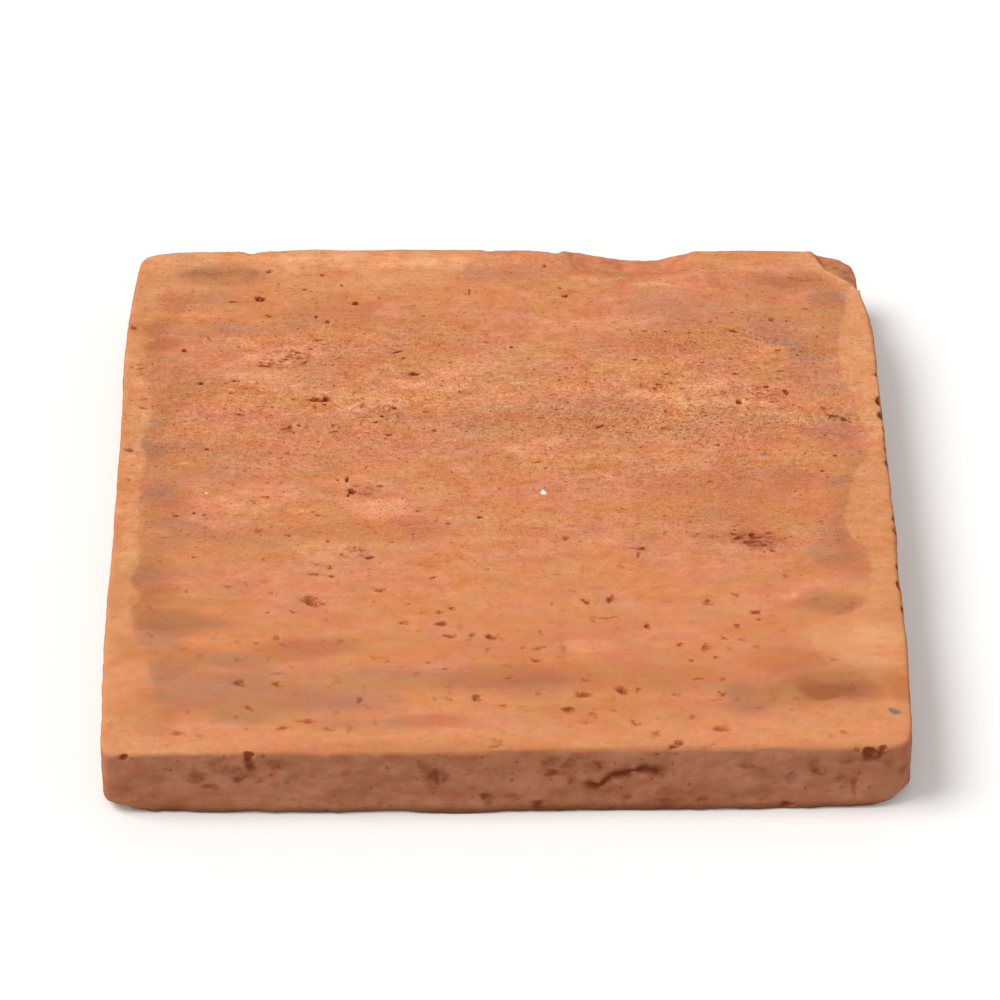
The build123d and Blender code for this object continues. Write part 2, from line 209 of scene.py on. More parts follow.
    (36.8, -93.8, 1.8, 1.6, 1), (-2.2, -96.6, 2.6, 1.6, 1), (50.4, -98.2, 2.0, 1.2, 2),
    (86.4, -48.2, 1.4, 0.6, 1),
)
# How much the marks of each darkness are swollen, and how much more toward the front
SWELLING, FRONT_SWELLING = (1.0, 1.0, 1.05, 1.15), 0.22
# What the four darknesses mean: the depth as a share of the smaller size, and the darkness of the hollow,
# partly the clay's own colour and partly painted shade
MARK_DEPTHS = (0.14, 0.24, 0.42, 0.62)
MARK_SHADES = (0.25, 0.36, 0.6, 0.95)
# The rings of points round a mark, by how far out they lie, and those that are turned by half a step
RINGS, TURNED_RINGS = (0.5, 0.82, 1.02, 1.2, 1.6), (0.82, 1.2)
GOLDEN_ANGLE = 2.399

# Marks in the front side: x, z, length along x, height, how dark and deep, and the turn
FRONT_MARKS = (
    (-76.5, 12, 3.6, 2.2, 2), (-73.5, 8.7, 2.6, 1.6, 2), (-69, 13.5, 2.4, 2.0, 1),
    (-65.5, 11.3, 3.0, 1.8, 3), (-71.5, 15.5, 3.4, 1.6, 1), (-62.6, 15.8, 2.2, 4.6, 3, -12),
    (-61, 10, 1.8, 1.4, 2), (-53.5, 10, 1.8, 1.4, 2), (-56.5, 14.5, 3.0, 1.6, 1), (-86, 8.2, 2.2, 1.4, 1),
    (-92, 5.5, 1.8, 1.6, 1), (-52.6, 4.2, 2.2, 1.2, 1), (-44, 14, 2.6, 1.8, 1), (-36, 13.2, 1.6, 1.4, 1),
    (-30, 10.5, 1.8, 1.4, 1), (-18.0, 12, 3.0, 4.6, 3, 25), (-21, 15.2, 1.6, 2.2, 2, 20),
    (-14.6, 16.4, 1.8, 1.2, 1), (-5.5, 5.5, 2.2, 2.0, 3), (1, 5.5, 3.0, 1.4, 2, 10),
    (-1, 10.4, 2.2, 1.4, 1), (-4.6, 14.6, 2.0, 1.2, 1), (7.8, 3.4, 2.4, 2.2, 3), (0, 2.6, 1.6, 1.2, 1),
    (9.5, 15.5, 2.2, 1.6, 2), (11.3, 12, 3.4, 1.7, 3, 4), (15, 16.2, 2.4, 1.2, 2, 8),
    (15.4, 9.3, 1.5, 2.4, 2, 25), (16.6, 12.4, 1.2, 1.0, 1), (21.8, 15.6, 3.0, 1.4, 2),
    (12.4, 6.6, 3.6, 1.6, 1), (25.4, 6.4, 1.8, 1.6, 1), (29.5, 4.6, 2.2, 1.6, 2), (38.6, 3.6, 3.4, 1.6, 2),
    (32.5, 8.6, 1.4, 1.0, 1), (43.6, 6.0, 2.6, 1.2, 1), (47, 3.2, 2.0, 1.4, 2), (58, 14.3, 2.4, 1.4, 2),
    (46, 13.4, 2.2, 1.0, 1), (52.6, 9.2, 1.8, 1.2, 1), (56.4, 4.2, 2.0, 1.2, 1), (62.4, 3.4, 2.4, 1.4, 2),
    (71.5, 16, 2.0, 1.4, 1), (69.5, 11.4, 1.8, 1.4, 2), (75.4, 12.3, 3.0, 1.8, 3),
    (74.4, 15.4, 1.8, 1.2, 1), (80.6, 8.8, 3.6, 2.0, 1), (82.2, 6.8, 2.0, 1.6, 2), (85.4, 8.8, 1.4, 1.6, 2),
    (85.6, 5.2, 1.2, 2.4, 2), (84.6, 2.4, 1.8, 1.4, 2), (88.4, 16.6, 3.4, 2.6, 3, -15),
    (91.4, 18.0, 2.6, 2.0, 3), (83.4, 15.2, 3.0, 1.4, 1), (90.2, 13.4, 1.6, 1.2, 1),
    (96.3, 11.6, 1.4, 1.6, 2), (66.6, 7.6, 1.8, 1.2, 1), (-40, 6.6, 2.0, 1.4, 1), (-25.6, 6.2, 1.6, 1.2, 1),
)
SIDE_MARK_DEPTH, SIDE_MARK_SHADE = 0.7, 0.4
# The open crack in the front side, by x and z, and where points of the mesh lie beside it
CRACK = (
    (20.0, 8.6), (21.6, 8.3), (23.0, 8.8), (24.4, 10.4), (25.4, 11.6), (27.9, 12.2), (30.6, 13.2),
    (33.6, 13.7), (35.6, 13.2), (37.2, 12.5),
)
BESIDE_CRACK = (0, 0.3, -0.3, 0.5, -0.5, 0.85, -0.85)
CRACK_ROOM, CRACK_DEPTH, CRACK_SHADE = 1.2, 0.75, 0.42

# Brown stains in the front side: x, z, half sizes and strength
SIDE_STAINS = (
    (-70.8, 16.0, 3.4, 2.0, 0.55), (-67.5, 13.4, 3.0, 1.8, 0.75), (-65.6, 11.9, 2.0, 1.2, 1.0),
    (-62.9, 16.2, 1.6, 4.6, 1.0), (-56.4, 16.4, 2.2, 1.7, 0.65), (-76.2, 12.4, 2.2, 1.4, 0.8),
    (-73.4, 9.6, 1.7, 1.1, 0.7), (-60.9, 11.2, 1.4, 1.2, 0.5), (-53.3, 10.6, 1.4, 1.2, 0.4),
    (-47.6, 15.2, 1.8, 1.4, 0.35), (-52.2, 4.3, 1.8, 1.2, 0.4), (-85.8, 11.2, 2.2, 1.4, 0.35),
    (-94.4, 7.8, 1.8, 1.2, 0.4), (-39.6, 14.0, 2.0, 1.4, 0.4), (-40.6, 7.8, 2.4, 1.4, 0.3),
    (-18.3, 12.4, 3.2, 3.6, 0.85), (-20.6, 15.6, 2.0, 1.6, 0.6), (-4.8, 5.2, 1.6, 1.6, 0.8),
    (1.6, 5.0, 2.6, 1.2, 0.45), (8.2, 2.9, 2.0, 1.6, 1.0), (10.4, 15.8, 2.4, 1.6, 0.6),
    (14.6, 15.6, 2.0, 1.4, 0.55), (17.2, 17.0, 1.8, 1.0, 0.5), (12.0, 12.3, 3.0, 1.6, 0.95),
    (16.2, 9.9, 1.3, 1.8, 0.7), (14.0, 6.5, 3.4, 1.6, 0.4), (21.6, 15.2, 2.6, 1.8, 0.6),
    (29.0, 4.6, 2.0, 1.4, 0.5), (24.6, 7.0, 3.0, 1.6, 0.3), (38.6, 3.4, 3.8, 1.5, 0.65),
    (47.0, 3.2, 2.2, 1.3, 0.65), (55.8, 4.2, 1.8, 1.1, 0.45), (58.4, 15.2, 1.8, 1.4, 0.6),
    (43.5, 7.6, 6.0, 3.0, 0.25), (75.6, 14.6, 2.4, 1.8, 0.6), (77.4, 11.8, 2.2, 1.8, 0.75),
    (70.2, 10.6, 1.6, 1.3, 0.55), (62.0, 13.0, 1.6, 1.4, 0.45), (82.4, 9.4, 2.2, 1.8, 0.5),
    (84.8, 6.8, 0.9, 3.6, 0.6), (82.8, 16.4, 1.8, 1.3, 0.5), (88.6, 17.2, 3.2, 2.8, 0.9),
    (97.2, 10.8, 1.4, 1.6, 0.5), (31.0, 16.6, 3.0, 1.6, 0.25), (0.0, 2.0, 26, 1.6, 0.25),
    (-30.0, 17.2, 14, 1.6, 0.22), (45.0, 2.0, 20, 1.4, 0.35), (93.0, 14.0, 2.0, 1.6, 0.4),
)
# Bites out of the arrises, by how much painted shade darkens their hollows: x, y, z of the middle, then half
# the size along x, y, z
BITES = (
    (0.64, (
        # the wearing face, front side
        (-93.8, -100.6, 18.6, 1.6, 1.2, 1.7), (-63.4, -100.5, 19.3, 1.7, 1.6, 2.8),
        (40.2, -99.3, 20.0, 2.3, 1.7, 1.5), (42.0, -97.6, 20.5, 1.6, 2.6, 1.0),
        (49.6, -99.2, 20.1, 1.7, 1.4, 1.2), (85.4, -99.8, 19.4, 2.2, 1.2, 1.8),
        (88.8, -99.8, 18.6, 2.6, 1.5, 2.6), (91.8, -99.4, 19.6, 1.5, 1.2, 1.5),
        # the wearing face, right side
        (100.1, -39.3, 19.8, 1.6, 1.8, 1.5), (100.2, -48, 19.8, 1.2, 1.3, 1.3),
        (100.3, -32, 19.8, 1.2, 2.0, 1.3), (100.4, -18, 19.8, 1.2, 1.3, 1.2),
        (100.6, -13.5, 19.8, 1.2, 1.7, 1.3), (100.4, 9.6, 19.8, 1.5, 3.2, 1.5),
        (100.4, 14.6, 19.8, 1.2, 1.6, 1.3), (100.4, 19, 19.8, 1.3, 1.8, 1.4),
        (100.3, 23, 19.8, 1.2, 1.5, 1.3), (100.2, 28.5, 19.8, 1.5, 2.1, 1.5),
        (100.1, 34, 19.8, 1.4, 2.2, 1.5), (100.0, 45, 19.8, 1.2, 1.8, 1.4),
    )),
    (0.45, (
        (64.6, -99.4, 20.1, 1.2, 1.0, 0.9), (77.2, -99.8, 20.1, 2.0, 1.0, 0.9),
        (8.0, -99.8, 20.2, 3.2, 1.1, 0.9), (-21.5, -100.5, 20.2, 2.6, 1.0, 0.9),
        (23.0, -99.6, 20.2, 2.0, 1.0, 1.0), (-36, -100.4, 20.1, 2.6, 1.0, 1.0),
        (100.5, 51, 20.2, 0.8, 2.0, 0.8), (99.2, 77.5, 20.2, 1.1, 3.0, 1.2),
        (100.7, -66, 20.2, 0.7, 2.2, 0.8), (-67.0, 101.1, 20.4, 4.8, 2.0, 1.9),
        (60.5, 100.3, 20.3, 2.2, 0.9, 0.9), (82, 99.8, 20.3, 3.0, 1.2, 1.1),
        # the bed, front side
        (-83, -101.3, -0.2, 2.0, 1.4, 1.2), (-65, -101.7, -0.2, 1.8, 1.4, 1.3),
        (-35, -101.9, -0.2, 3.2, 1.5, 1.3), (25, -101.9, -0.2, 3.0, 1.4, 1.2),
        (33.4, -101.9, -0.2, 2.6, 1.4, 1.3), (43, -102.0, -0.2, 9.0, 1.5, 1.2),
        (68.4, -101.4, 1.4, 4.2, 1.9, 1.6), (0, -101.9, -0.2, 4.0, 1.0, 0.8),
        (85.6, -101.2, -0.2, 2.2, 1.4, 1.2),
    )),
    (0.0, (
        # the wearing face, back side
        (-88.5, 100.8, 20.3, 2.8, 1.5, 1.5), (-36, 101.5, 20.3, 1.8, 1.1, 1.2),
        (-3, 101.2, 20.4, 2.6, 1.8, 1.7), (5, 101.1, 20.4, 3.0, 1.1, 1.0),
        (14.6, 101.0, 20.5, 6.4, 2.9, 3.0), (68, 100.3, 20.3, 2.6, 0.8, 0.8),
        (-25, 101.6, 20.3, 2.4, 0.9, 0.9), (-53, 101.7, 20.3, 2.2, 0.8, 0.8),
        (-80, 101.0, 20.3, 1.6, 0.9, 0.9),
        # the wearing face, left side
        (-100.9, 51, 20.2, 0.9, 2.0, 0.9), (-100.7, 67, 20.2, 0.9, 1.6, 0.8),
        (-100.7, 34, 20.2, 0.7, 2.4, 0.8), (-100.6, 8, 20.2, 0.6, 1.8, 0.7),
        (-100.8, -30, 20.2, 0.7, 2.2, 0.7), (-101.1, -58, 20.2, 0.6, 1.6, 0.7),
        # the bed, other sides
        (101.3, -52, -0.2, 1.2, 5.0, 1.2), (101.4, 22, -0.2, 1.4, 7.0, 1.6),
        (100.6, 71, -0.2, 1.6, 4.0, 2.2), (-101.4, -41, -0.2, 1.2, 6.0, 1.4),
        (-101.2, 33, -0.2, 1.5, 4.2, 1.9), (-100.2, 84, -0.2, 1.6, 5.0, 1.5),
        (-52, 102.3, -0.2, 6.0, 1.4, 1.6), (14, 101.8, -0.2, 5.0, 1.6, 2.2),
        (73, 101.1, -0.2, 7.0, 1.5, 1.5), (-96, 100.9, -0.4, 3.4, 3.2, 2.4),
    )),
)

# The worn front corners of the bed: which side, how far they are worn up and inward, from which x the
# wear starts, and the power by which it grows toward the side
WORN_CORNERS = ((-1, 4.2, 1.0, 86, 1.5), (1, 6.4, 2.4, 88, 2))

# Grains that show at the surface: x, y, length, width, turn, colour, how much it covers
GRAINS = (
    (10.3, -2.3, 1.3, 2.2, 25, (1, 0.98, 0.93), 1), (59, 41.7, 0.9, 0.7, 0, (0.84, 0.41, 0.21), 0.9),
    (-76.5, -2, 1.3, 0.7, -20, (0.88, 0.7, 0.56), 0.9),
    (-78.6, -1.2, 2.6, 0.35, 8, (0.86, 0.41, 0.21), 0.9), (67.8, 12.4, 2.4, 1.0, 4, (0.22, 0.21, 0.2), 0.9),
    (73.4, 12.7, 1.4, 1.5, 20, (0.36, 0.24, 0.13), 0.7),
    (95.2, -86.4, 3.2, 2.0, -18, (0.17, 0.18, 0.17), 0.9), (33.4, 92, 4.2, 2.2, 0, (0.42, 0.33, 0.13), 0.6),
    (-97.2, 15.8, 2.2, 1.2, 0, (0.17, 0.13, 0.1), 0.8),
    (-82.6, 10.1, 2.6, 0.8, 25, (0.83, 0.41, 0.21), 0.8),
    (83.4, 10.4, 0.5, 2.2, -20, (0.88, 0.41, 0.21), 0.8), (84.6, 13, 2.6, 0.5, 20, (0.86, 0.41, 0.21), 0.7),
    (1.2, 5, 1.6, 0.8, 20, (0.8, 0.41, 0.21), 0.7), (-71.5, 40.2, 1.8, 1.2, 0, (0.85, 0.41, 0.21), 0.8),
    (-66.5, 37.8, 2.4, 0.7, -15, (0.84, 0.41, 0.21), 0.8),
    (-68.6, 45.2, 2.6, 0.6, 20, (0.82, 0.41, 0.21), 0.7),
    (-58.5, 33.6, 0.8, 0.6, 0, (0.86, 0.41, 0.21), 0.8),
    (-54.2, 25.8, 1.2, 0.8, 30, (0.84, 0.41, 0.21), 0.7),
    (-37.4, 20.9, 1.2, 0.9, 0, (0.82, 0.41, 0.21), 0.7),
    (-33.2, 19.6, 1.8, 0.6, -20, (0.8, 0.41, 0.21), 0.7), (50.2, 2.4, 0.6, 0.8, 0, (0.9, 0.41, 0.21), 0.8),
    (23.2, 1, 0.9, 0.5, -30, (0.86, 0.41, 0.21), 0.7), (-40.0, -28.4, 2.6, 0.6, 0, (0.82, 0.41, 0.21), 0.6),
    (-46.5, 7.8, 3.0, 0.4, 4, (0.82, 0.41, 0.21), 0.5),
    (-29.6, 52.6, 9.4, 0.34, -6, (0.86, 0.40, 0.19), 0.55),
    (-20.6, 51.3, 9.4, 0.34, -8, (0.86, 0.40, 0.19), 0.6),
    (-11.6, 50.0, 9.4, 0.34, -8, (0.86, 0.40, 0.19), 0.6),
    (-3.2, 48.9, 8.0, 0.3, -6, (0.86, 0.40, 0.19), 0.45),
    (-88.0, 63.2, 9.0, 0.3, -5, (0.84, 0.40, 0.20), 0.4),
    (-78.6, 61.9, 9.6, 0.3, -7, (0.84, 0.40, 0.20), 0.4),
    (-30.0, 41.0, 9.0, 0.3, -4, (0.86, 0.40, 0.19), 0.4),
    (-20.5, 38.2, 8.0, 0.3, -5, (0.86, 0.40, 0.19), 0.4),
)
# The grains have the uneven outlines of marks, from this number on
FIRST_GRAIN = 3

# The spall in the back arris: where its rim runs on the face, and how deep it is at the back side
SPALL_RIM = (
    (17, 112), (17.6, 97.9), (18.6, 93.4), (20.8, 90.0), (24.5, 88.2), (29, 87.5), (34, 87.8), (39, 87.2),
    (44, 88.0), (48, 90.0), (51, 93.4), (53.2, 97.6), (55, 112),
)
SPALL_DROP = (
    (17.5, 0.5), (20, 1.0), (23.7, 1.75), (27, 2.3), (30, 3.25), (33, 3.7), (37, 3.8), (40, 3.6),
    (43.4, 3.2), (46.7, 2.3), (50, 1.6), (52, 1.0), (55, 0.4),
)
SPALL_FRONT, SPALL_REACH = 87.4, 12
# The broken corner: its rim on the face, the lie of its floor (a place, its slopes from there along x and
# y, and its depth there) and how steep its wall is
BREAK_RIM = (
    (84.6, 101.5), (85.6, 96.8), (87.2, 92.8), (88.2, 90.6), (90.0, 89.0), (92.6, 86.7), (95.2, 84.7),
    (96.6, 81.8), (98.6, 80), (103, 79.4), (103, 103), (84.6, 103),
)
BREAK_FLOOR = (86.0, 99.2, 0.27, 0.09, 1.75)
BREAK_WALL = 1.9

# Which triangles delaunay_2d_cdt gives, and how close two points are one for it
ALL_TRIANGLES, INSIDE_LOOP, SAME_POINT = 0, 1, 1e-7
# Big numbers that scatter the cells of a lattice
CELL_FACTORS, SEED_FACTOR = (374761393, 668265263, 1440662683), 974634777
STIRS = ((13, 1274126177), (16, 1103515245), (15, 1))
WORD, HALF_WORD = 0xFFFFFFFF, 0x7FFFFFFF
OCTAVE_SHIFT, OCTAVE_SHARE, BITE_SHIFT = 31.7, 0.55, 7.1


def ramp(low, high, value):
    """0 at low and beyond it, 1 at high and beyond it, and even between them."""
    return np.clip((value - low) / (high - low), 0, 1)


def smooth(low, high, value):
    """0 at low and beyond it, 1 at high and beyond it, and a soft step between them."""
    part = ramp(low, high, value)
    return part * part * (3 - 2 * part)


def fade(low, high, value):
    """1 at low and beyond it, 0 at high and beyond it, and a soft step between them."""
    return 1 - smooth(low, high, value)


def hashed(cell, seed):
    """One repeatable number from -1 to 1 for each cell of a lattice."""
    value = cell @ np.array(CELL_FACTORS) + seed * SEED_FACTOR
    for shift, factor in STIRS:
        value = ((value ^ (value >> shift)) * factor) & WORD
    return value / HALF_WORD - 1


def clouds(points, size, seed, octaves=3):
    """Smooth random heights from about -1 to 1 at 3-D points, with forms of this size and finer ones."""
    total = np.zeros(len(points))
    for octave in range(octaves):
        place = points / np.asarray(size, float) * 2**octave + OCTAVE_SHIFT * octave
        cell = np.floor(place).astype(np.int64)
        part = place - cell
        part = part**3 * (part * (part * 6 - 15) + 10)
        for corner in np.ndindex(2, 2, 2):
            share = np.prod(np.where(corner, part, 1 - part), axis=1)
            total += share * hashed(cell + np.array(corner), seed + octave) * OCTAVE_SHARE**octave
    return total


def flat(x, y):
    """Points of a plane as 3-D points, for the random heights."""
    return np.column_stack([x, y, np.zeros(len(x))])


def uneven(points, height, size, seed, octaves=3):
    """Random heights with this mean."""
    return height * (1 + clouds(points, size, seed, octaves))


def line_distance(x, y, points):
    """How far each point is from a line through these points."""
    nearest = np.full(len(x), np.inf)
    for (ax, ay), (bx, by) in zip(points, points[1:]):
        size_squared = (bx - ax) ** 2 + (by - ay) ** 2
        share = np.clip(((x - ax) * (bx - ax) + (y - ay) * (by - ay)) / size_squared, 0, 1)
        nearest = np.minimum(nearest, np.hypot(x - ax - share * (bx - ax), y - ay - share * (by - ay)))
    return nearest


def inside_distance(x, y, polygon):
    """How far inside a polygon each point is; negative outside it."""
    closed = np.array([polygon[-1], *polygon], float)
    inside = np.zeros(len(x), bool)
    for (ax, ay), (bx, by) in zip(closed, closed[1:]):
        if ay != by:
            inside ^= ((ay > y) != (by > y)) & (x < (bx - ax) * (y - ay) / (by - ay) + ax)
    nearest = line_distance(x, y, closed)
    return np.where(inside, nearest, -nearest)


def spall_depth(x, y):
    """How much clay the spall took off the wearing face."""
    within = inside_distance(x, y, SPALL_RIM)
    drop = np.interp(x, *zip(*SPALL_DROP))
    reach = np.clip((y - SPALL_FRONT) / SPALL_REACH, 0.02, 1)
    bowl = np.sin(reach * math.pi / 2) ** 0.9
    ripple = 1 + 0.10 * clouds(flat(x, y), 5, seed=41)
    return np.where(within > 0, drop * bowl * ripple * smooth(0, 2.6, within + 0.5), 0)


def break_depth(x, y):
    """How much clay the broken corner lost: a sloping floor behind a steep wall."""
    within = inside_distance(x, y, BREAK_RIM)
    from_x, from_y, along_x, along_y, least = BREAK_FLOOR
    floor = least + along_x * (x - from_x) + along_y * (y - from_y)
    floor = np.maximum(floor, 0.4) + 0.28 * clouds(flat(x, y), 4, seed=43)
    wall = BREAK_WALL * within + 0.15 * clouds(flat(x, y), 1.5, seed=44)
    return np.where(within > 0, np.maximum(np.minimum(floor, wall), 0), 0)


def broken_off(x, y):
    """How much clay the spall or the broken corner took away."""
    return np.maximum(spall_depth(x, y), break_depth(x, y))


def lost(x, y):
    """How far the wearing face lies below the full thickness before its small marks."""
    place = flat(x, y)
    wave = uneven(place, 0.08, (60, 45, 1), seed=11, octaves=2)
    strike = uneven(place, 0.05, (26, 2.6, 1), seed=12)
    grain = uneven(place, 0.02, (1.6, 1.3, 1), seed=13, octaves=2)
    broken = broken_off(x, y)
    near_arris = smooth(4.5, 0, np.minimum(100.2 - abs(x), 100.8 - abs(y)))
    ragged = uneven(place, 0.12, 5.5, seed=14) * near_arris
    return wave + (strike + grain) * fade(0, 0.4, broken) + ragged + broken


def with_turn(row):
    """A mark with its turn, which is 0 where its row ends before it."""
    return row if len(row) == 6 else (*row, 0)


def swollen(rows):
    """The marks of the wearing face with their sizes scaled by how dark they are and where they lie."""
    grown = []
    for mark_x, mark_y, length, width, dark, turn in map(with_turn, rows):
        factor = SWELLING[dark] * (1 + FRONT_SWELLING * float(smooth(-15, -60, mark_y)))
        grown.append((mark_x, mark_y, length * factor, width * factor, dark, turn))
    return grown


def lobes(angle, index):
    """An uneven outline for a mark, different for each."""
    turn = index * GOLDEN_ANGLE
    two, three = 0.16 * np.sin(2 * angle + turn), 0.13 * np.sin(3 * angle - 2 * turn)
    return 1 + two + three + 0.08 * np.sin(5 * angle + turn * 3)


def mark_reach(x, y, row, index):
    """Where each point lies in a mark: 0 in its middle, 1 at its rim."""
    mark_x, mark_y, length, width, _, turn = row
    cos, sin = math.cos(math.radians(turn)), math.sin(math.radians(turn))
    along = ((x - mark_x) * cos + (y - mark_y) * sin) / (length / 2)
    across = ((y - mark_y) * cos - (x - mark_x) * sin) / (width / 2)
    return np.hypot(along, across) / lobes(np.arctan2(across, along), index)


def mark_rings(row, index, spacing):
    """Points in rings round a mark, close together at its wall."""
    mark_x, mark_y, length, width, _, turn = row
    cos, sin = math.cos(math.radians(turn)), math.sin(math.radians(turn))
    points = [(mark_x, mark_y)]
    for ring in RINGS:
        ring_length = math.pi * (length + width) / 2 * ring
        count = max(7, min(30, round(ring_length / spacing)))
        for step in range(count):
            angle = 2 * math.pi * (step + 0.5 * (ring in TURNED_RINGS)) / count
            radius = ring * lobes(angle, index)
            along, across = radius * math.cos(angle) * length / 2, radius * math.sin(angle) * width / 2
            points.append((mark_x + along * cos - across * sin, mark_y + along * sin + across * cos))
    return points


def rings_of(rows, spacing, first=0):
    """The points round all of these marks, which are numbered from the first on."""
    return [point for index, row in enumerate(rows, first) for point in mark_rings(row, index, spacing)]


def marked(x, y, rows, depth_scale, softness):
    """The depth and the darkness that a list of marks gives to points."""
    depth, dark = np.zeros(len(x)), np.zeros(len(x))
    for index, row in enumerate(rows):
        mark_x, mark_y, length, width, darkness, _ = row
        near = np.flatnonzero((abs(x - mark_x) < length + width) & (abs(y - mark_y) < length + width))
        near_x, near_y = x[near], y[near]
        soft = softness(mark_y)
        reach = mark_reach(near_x, near_y, row, index)
        deepest = depth_scale * min(length, width) * MARK_DEPTHS[darkness] * (1 - 0.5 * soft)
        hollow = deepest * (0.85 * fade(0.45, 1.04, reach) + 0.15 * fade(0.9, 1.6, reach))
        depth[near] = np.maximum(depth[near], hollow)
        bent = 0.55 * soft * clouds(flat(near_x, near_y), 1.7, seed=55, octaves=2)
        reach = mark_reach(near_x + bent, near_y - bent, row, index)
        # the darkness in a mark is partly the clay's own colour and partly painted shade in its hollow
        shade = MARK_SHADES[darkness] * (1 - 0.3 * soft) * fade(0.5 - 0.5 * soft, 1.15 + 0.55 * soft, reach)
        dark[near] = np.maximum(dark[near], shade + 0.1 * fade(0.9, 1.8, reach))
    return depth, dark


def thinned(points, gap):
    """Points without those that fall in the same small cell as an earlier one."""
    cells = np.round(np.asarray(points) / gap).astype(np.int64)
    first = np.unique(cells, axis=0, return_index=True)[1]
    return np.asarray(points)[np.sort(first)]


def clear_of_marks(points, rows, reach):
    """Grid points that lie away from every mark."""
    keep = np.ones(len(points), bool)
    for index, row in enumerate(rows):
        keep &= mark_reach(points[:, 0], points[:, 1], row, index) > reach
    return points[keep]


def beside_line(line, step, offsets):
    """Points along a line, at these distances from it."""
    points = []
    for (ax, ay), (bx, by) in zip(line, line[1:]):
        size = math.hypot(bx - ax, by - ay)
        for part in np.linspace(0, 1, max(2, round(size / step)), endpoint=False):
            for offset in offsets:
                point_x = ax + (bx - ax) * part - (by - ay) / size * offset
                points.append((point_x, ay + (by - ay) * part + (bx - ax) / size * offset))
    return points


def triangulated(points, loop=()):
    """Triangles between points of a plane, as indices of them; only those inside a loop, if one is given."""
    kind = INSIDE_LOOP if loop else ALL_TRIANGLES
    _, _, triangles, origins, _, _ = delaunay_2d_cdt([Vector(p) for p in points], loop, [], kind, SAME_POINT)
    return np.array([[origins[corner][0] for corner in triangle] for triangle in triangles])


def grid(low, high, step):
    """Points in staggered rows over a square."""
    points = []
    for number, y in enumerate(np.arange(low, high, step * ROW_SHARE)):
        xs = np.arange(low + step / 2 * (number % 2), high, step)
        points.append(np.column_stack([xs, np.full(len(xs), y)]))
    return np.concatenate(points)


def closed_curve(places, steps):
    """Points of a smooth closed curve through these places; the last point is the first one again."""
    knots = np.array(places, float)
    curve = []
    for number in range(len(knots)):
        before, start, end, after = (knots[(number + offset) % len(knots)] for offset in (-1, 0, 1, 2))
        for part in np.linspace(0, 1, steps, endpoint=False):
            square = (2 * before - 5 * start + 4 * end - after) * part**2
            cube = (3 * start - before - 3 * end + after) * part**3
            curve.append(0.5 * (2 * start + (end - before) * part + square + cube))
    return np.array(curve + curve[:1])


def facing(points, faces):
    """The direction that the surface faces at each point."""
    a, b, c = (points[faces[:, corner]] for corner in range(3))
    across = np.cross(b - a, c - a)
    total = np.zeros_like(points)
    for corner in range(3):
        np.add.at(total, faces[:, corner], across)
    return total / np.maximum(np.linalg.norm(total, axis=1), 1e-12)[:, None]


# The outline as a curve, and the lengths round it at which the sheet of the sides has its columns
outline = closed_curve(OUTLINE, CURVE_STEPS)
run = np.hypot(*np.diff(outline, axis=0).T)
length_at = np.concatenate([[0], np.cumsum(run)])
around = length_at[-1]
step_at = np.where(outline[:-1, 1] < -94, FRONT_STEP, SIDE_STEP)
count_at = np.concatenate([[0], np.cumsum(run / step_at)])
columns = int(round(count_at[-1]))
column_s = np.interp(np.linspace(0, count_at[-1], columns + 1), count_at, length_at)


def along_outline(s):
    """Points of the outline at these lengths round it."""
    s = np.mod(s, around)
    return np.column_stack([np.interp(s, length_at, outline[:, 0]), np.interp(s, length_at, outline[:, 1])])


def outward_at(s):
    """Directions away from the slab, turned evenly through the corners."""
    chord = along_outline(s + CORNER_REACH) - along_outline(s - CORNER_REACH)
    return np.column_stack([chord[:, 1], -chord[:, 0]]) / np.hypot(chord[:, 0], chord[:, 1])[:, None]


def arris_at(edge, outward):
    """The radius of the wearing face's arris: worn at the front, nearly sharp at the back."""
    front, back = np.clip(-outward[:, 1], 0, 1), np.clip(outward[:, 1], 0, 1)
    radius = SIDE_ARRIS + (FRONT_ARRIS - SIDE_ARRIS) * front + (BACK_ARRIS - SIDE_ARRIS) * back
    radius = radius * (1 + 0.22 * clouds(flat(*edge.T), 14, seed=21))
    broken = broken_off(*edge.T)
    return np.where(broken > 0, radius + (BROKEN_ARRIS - radius) * smooth(0, 0.8, broken), radius)


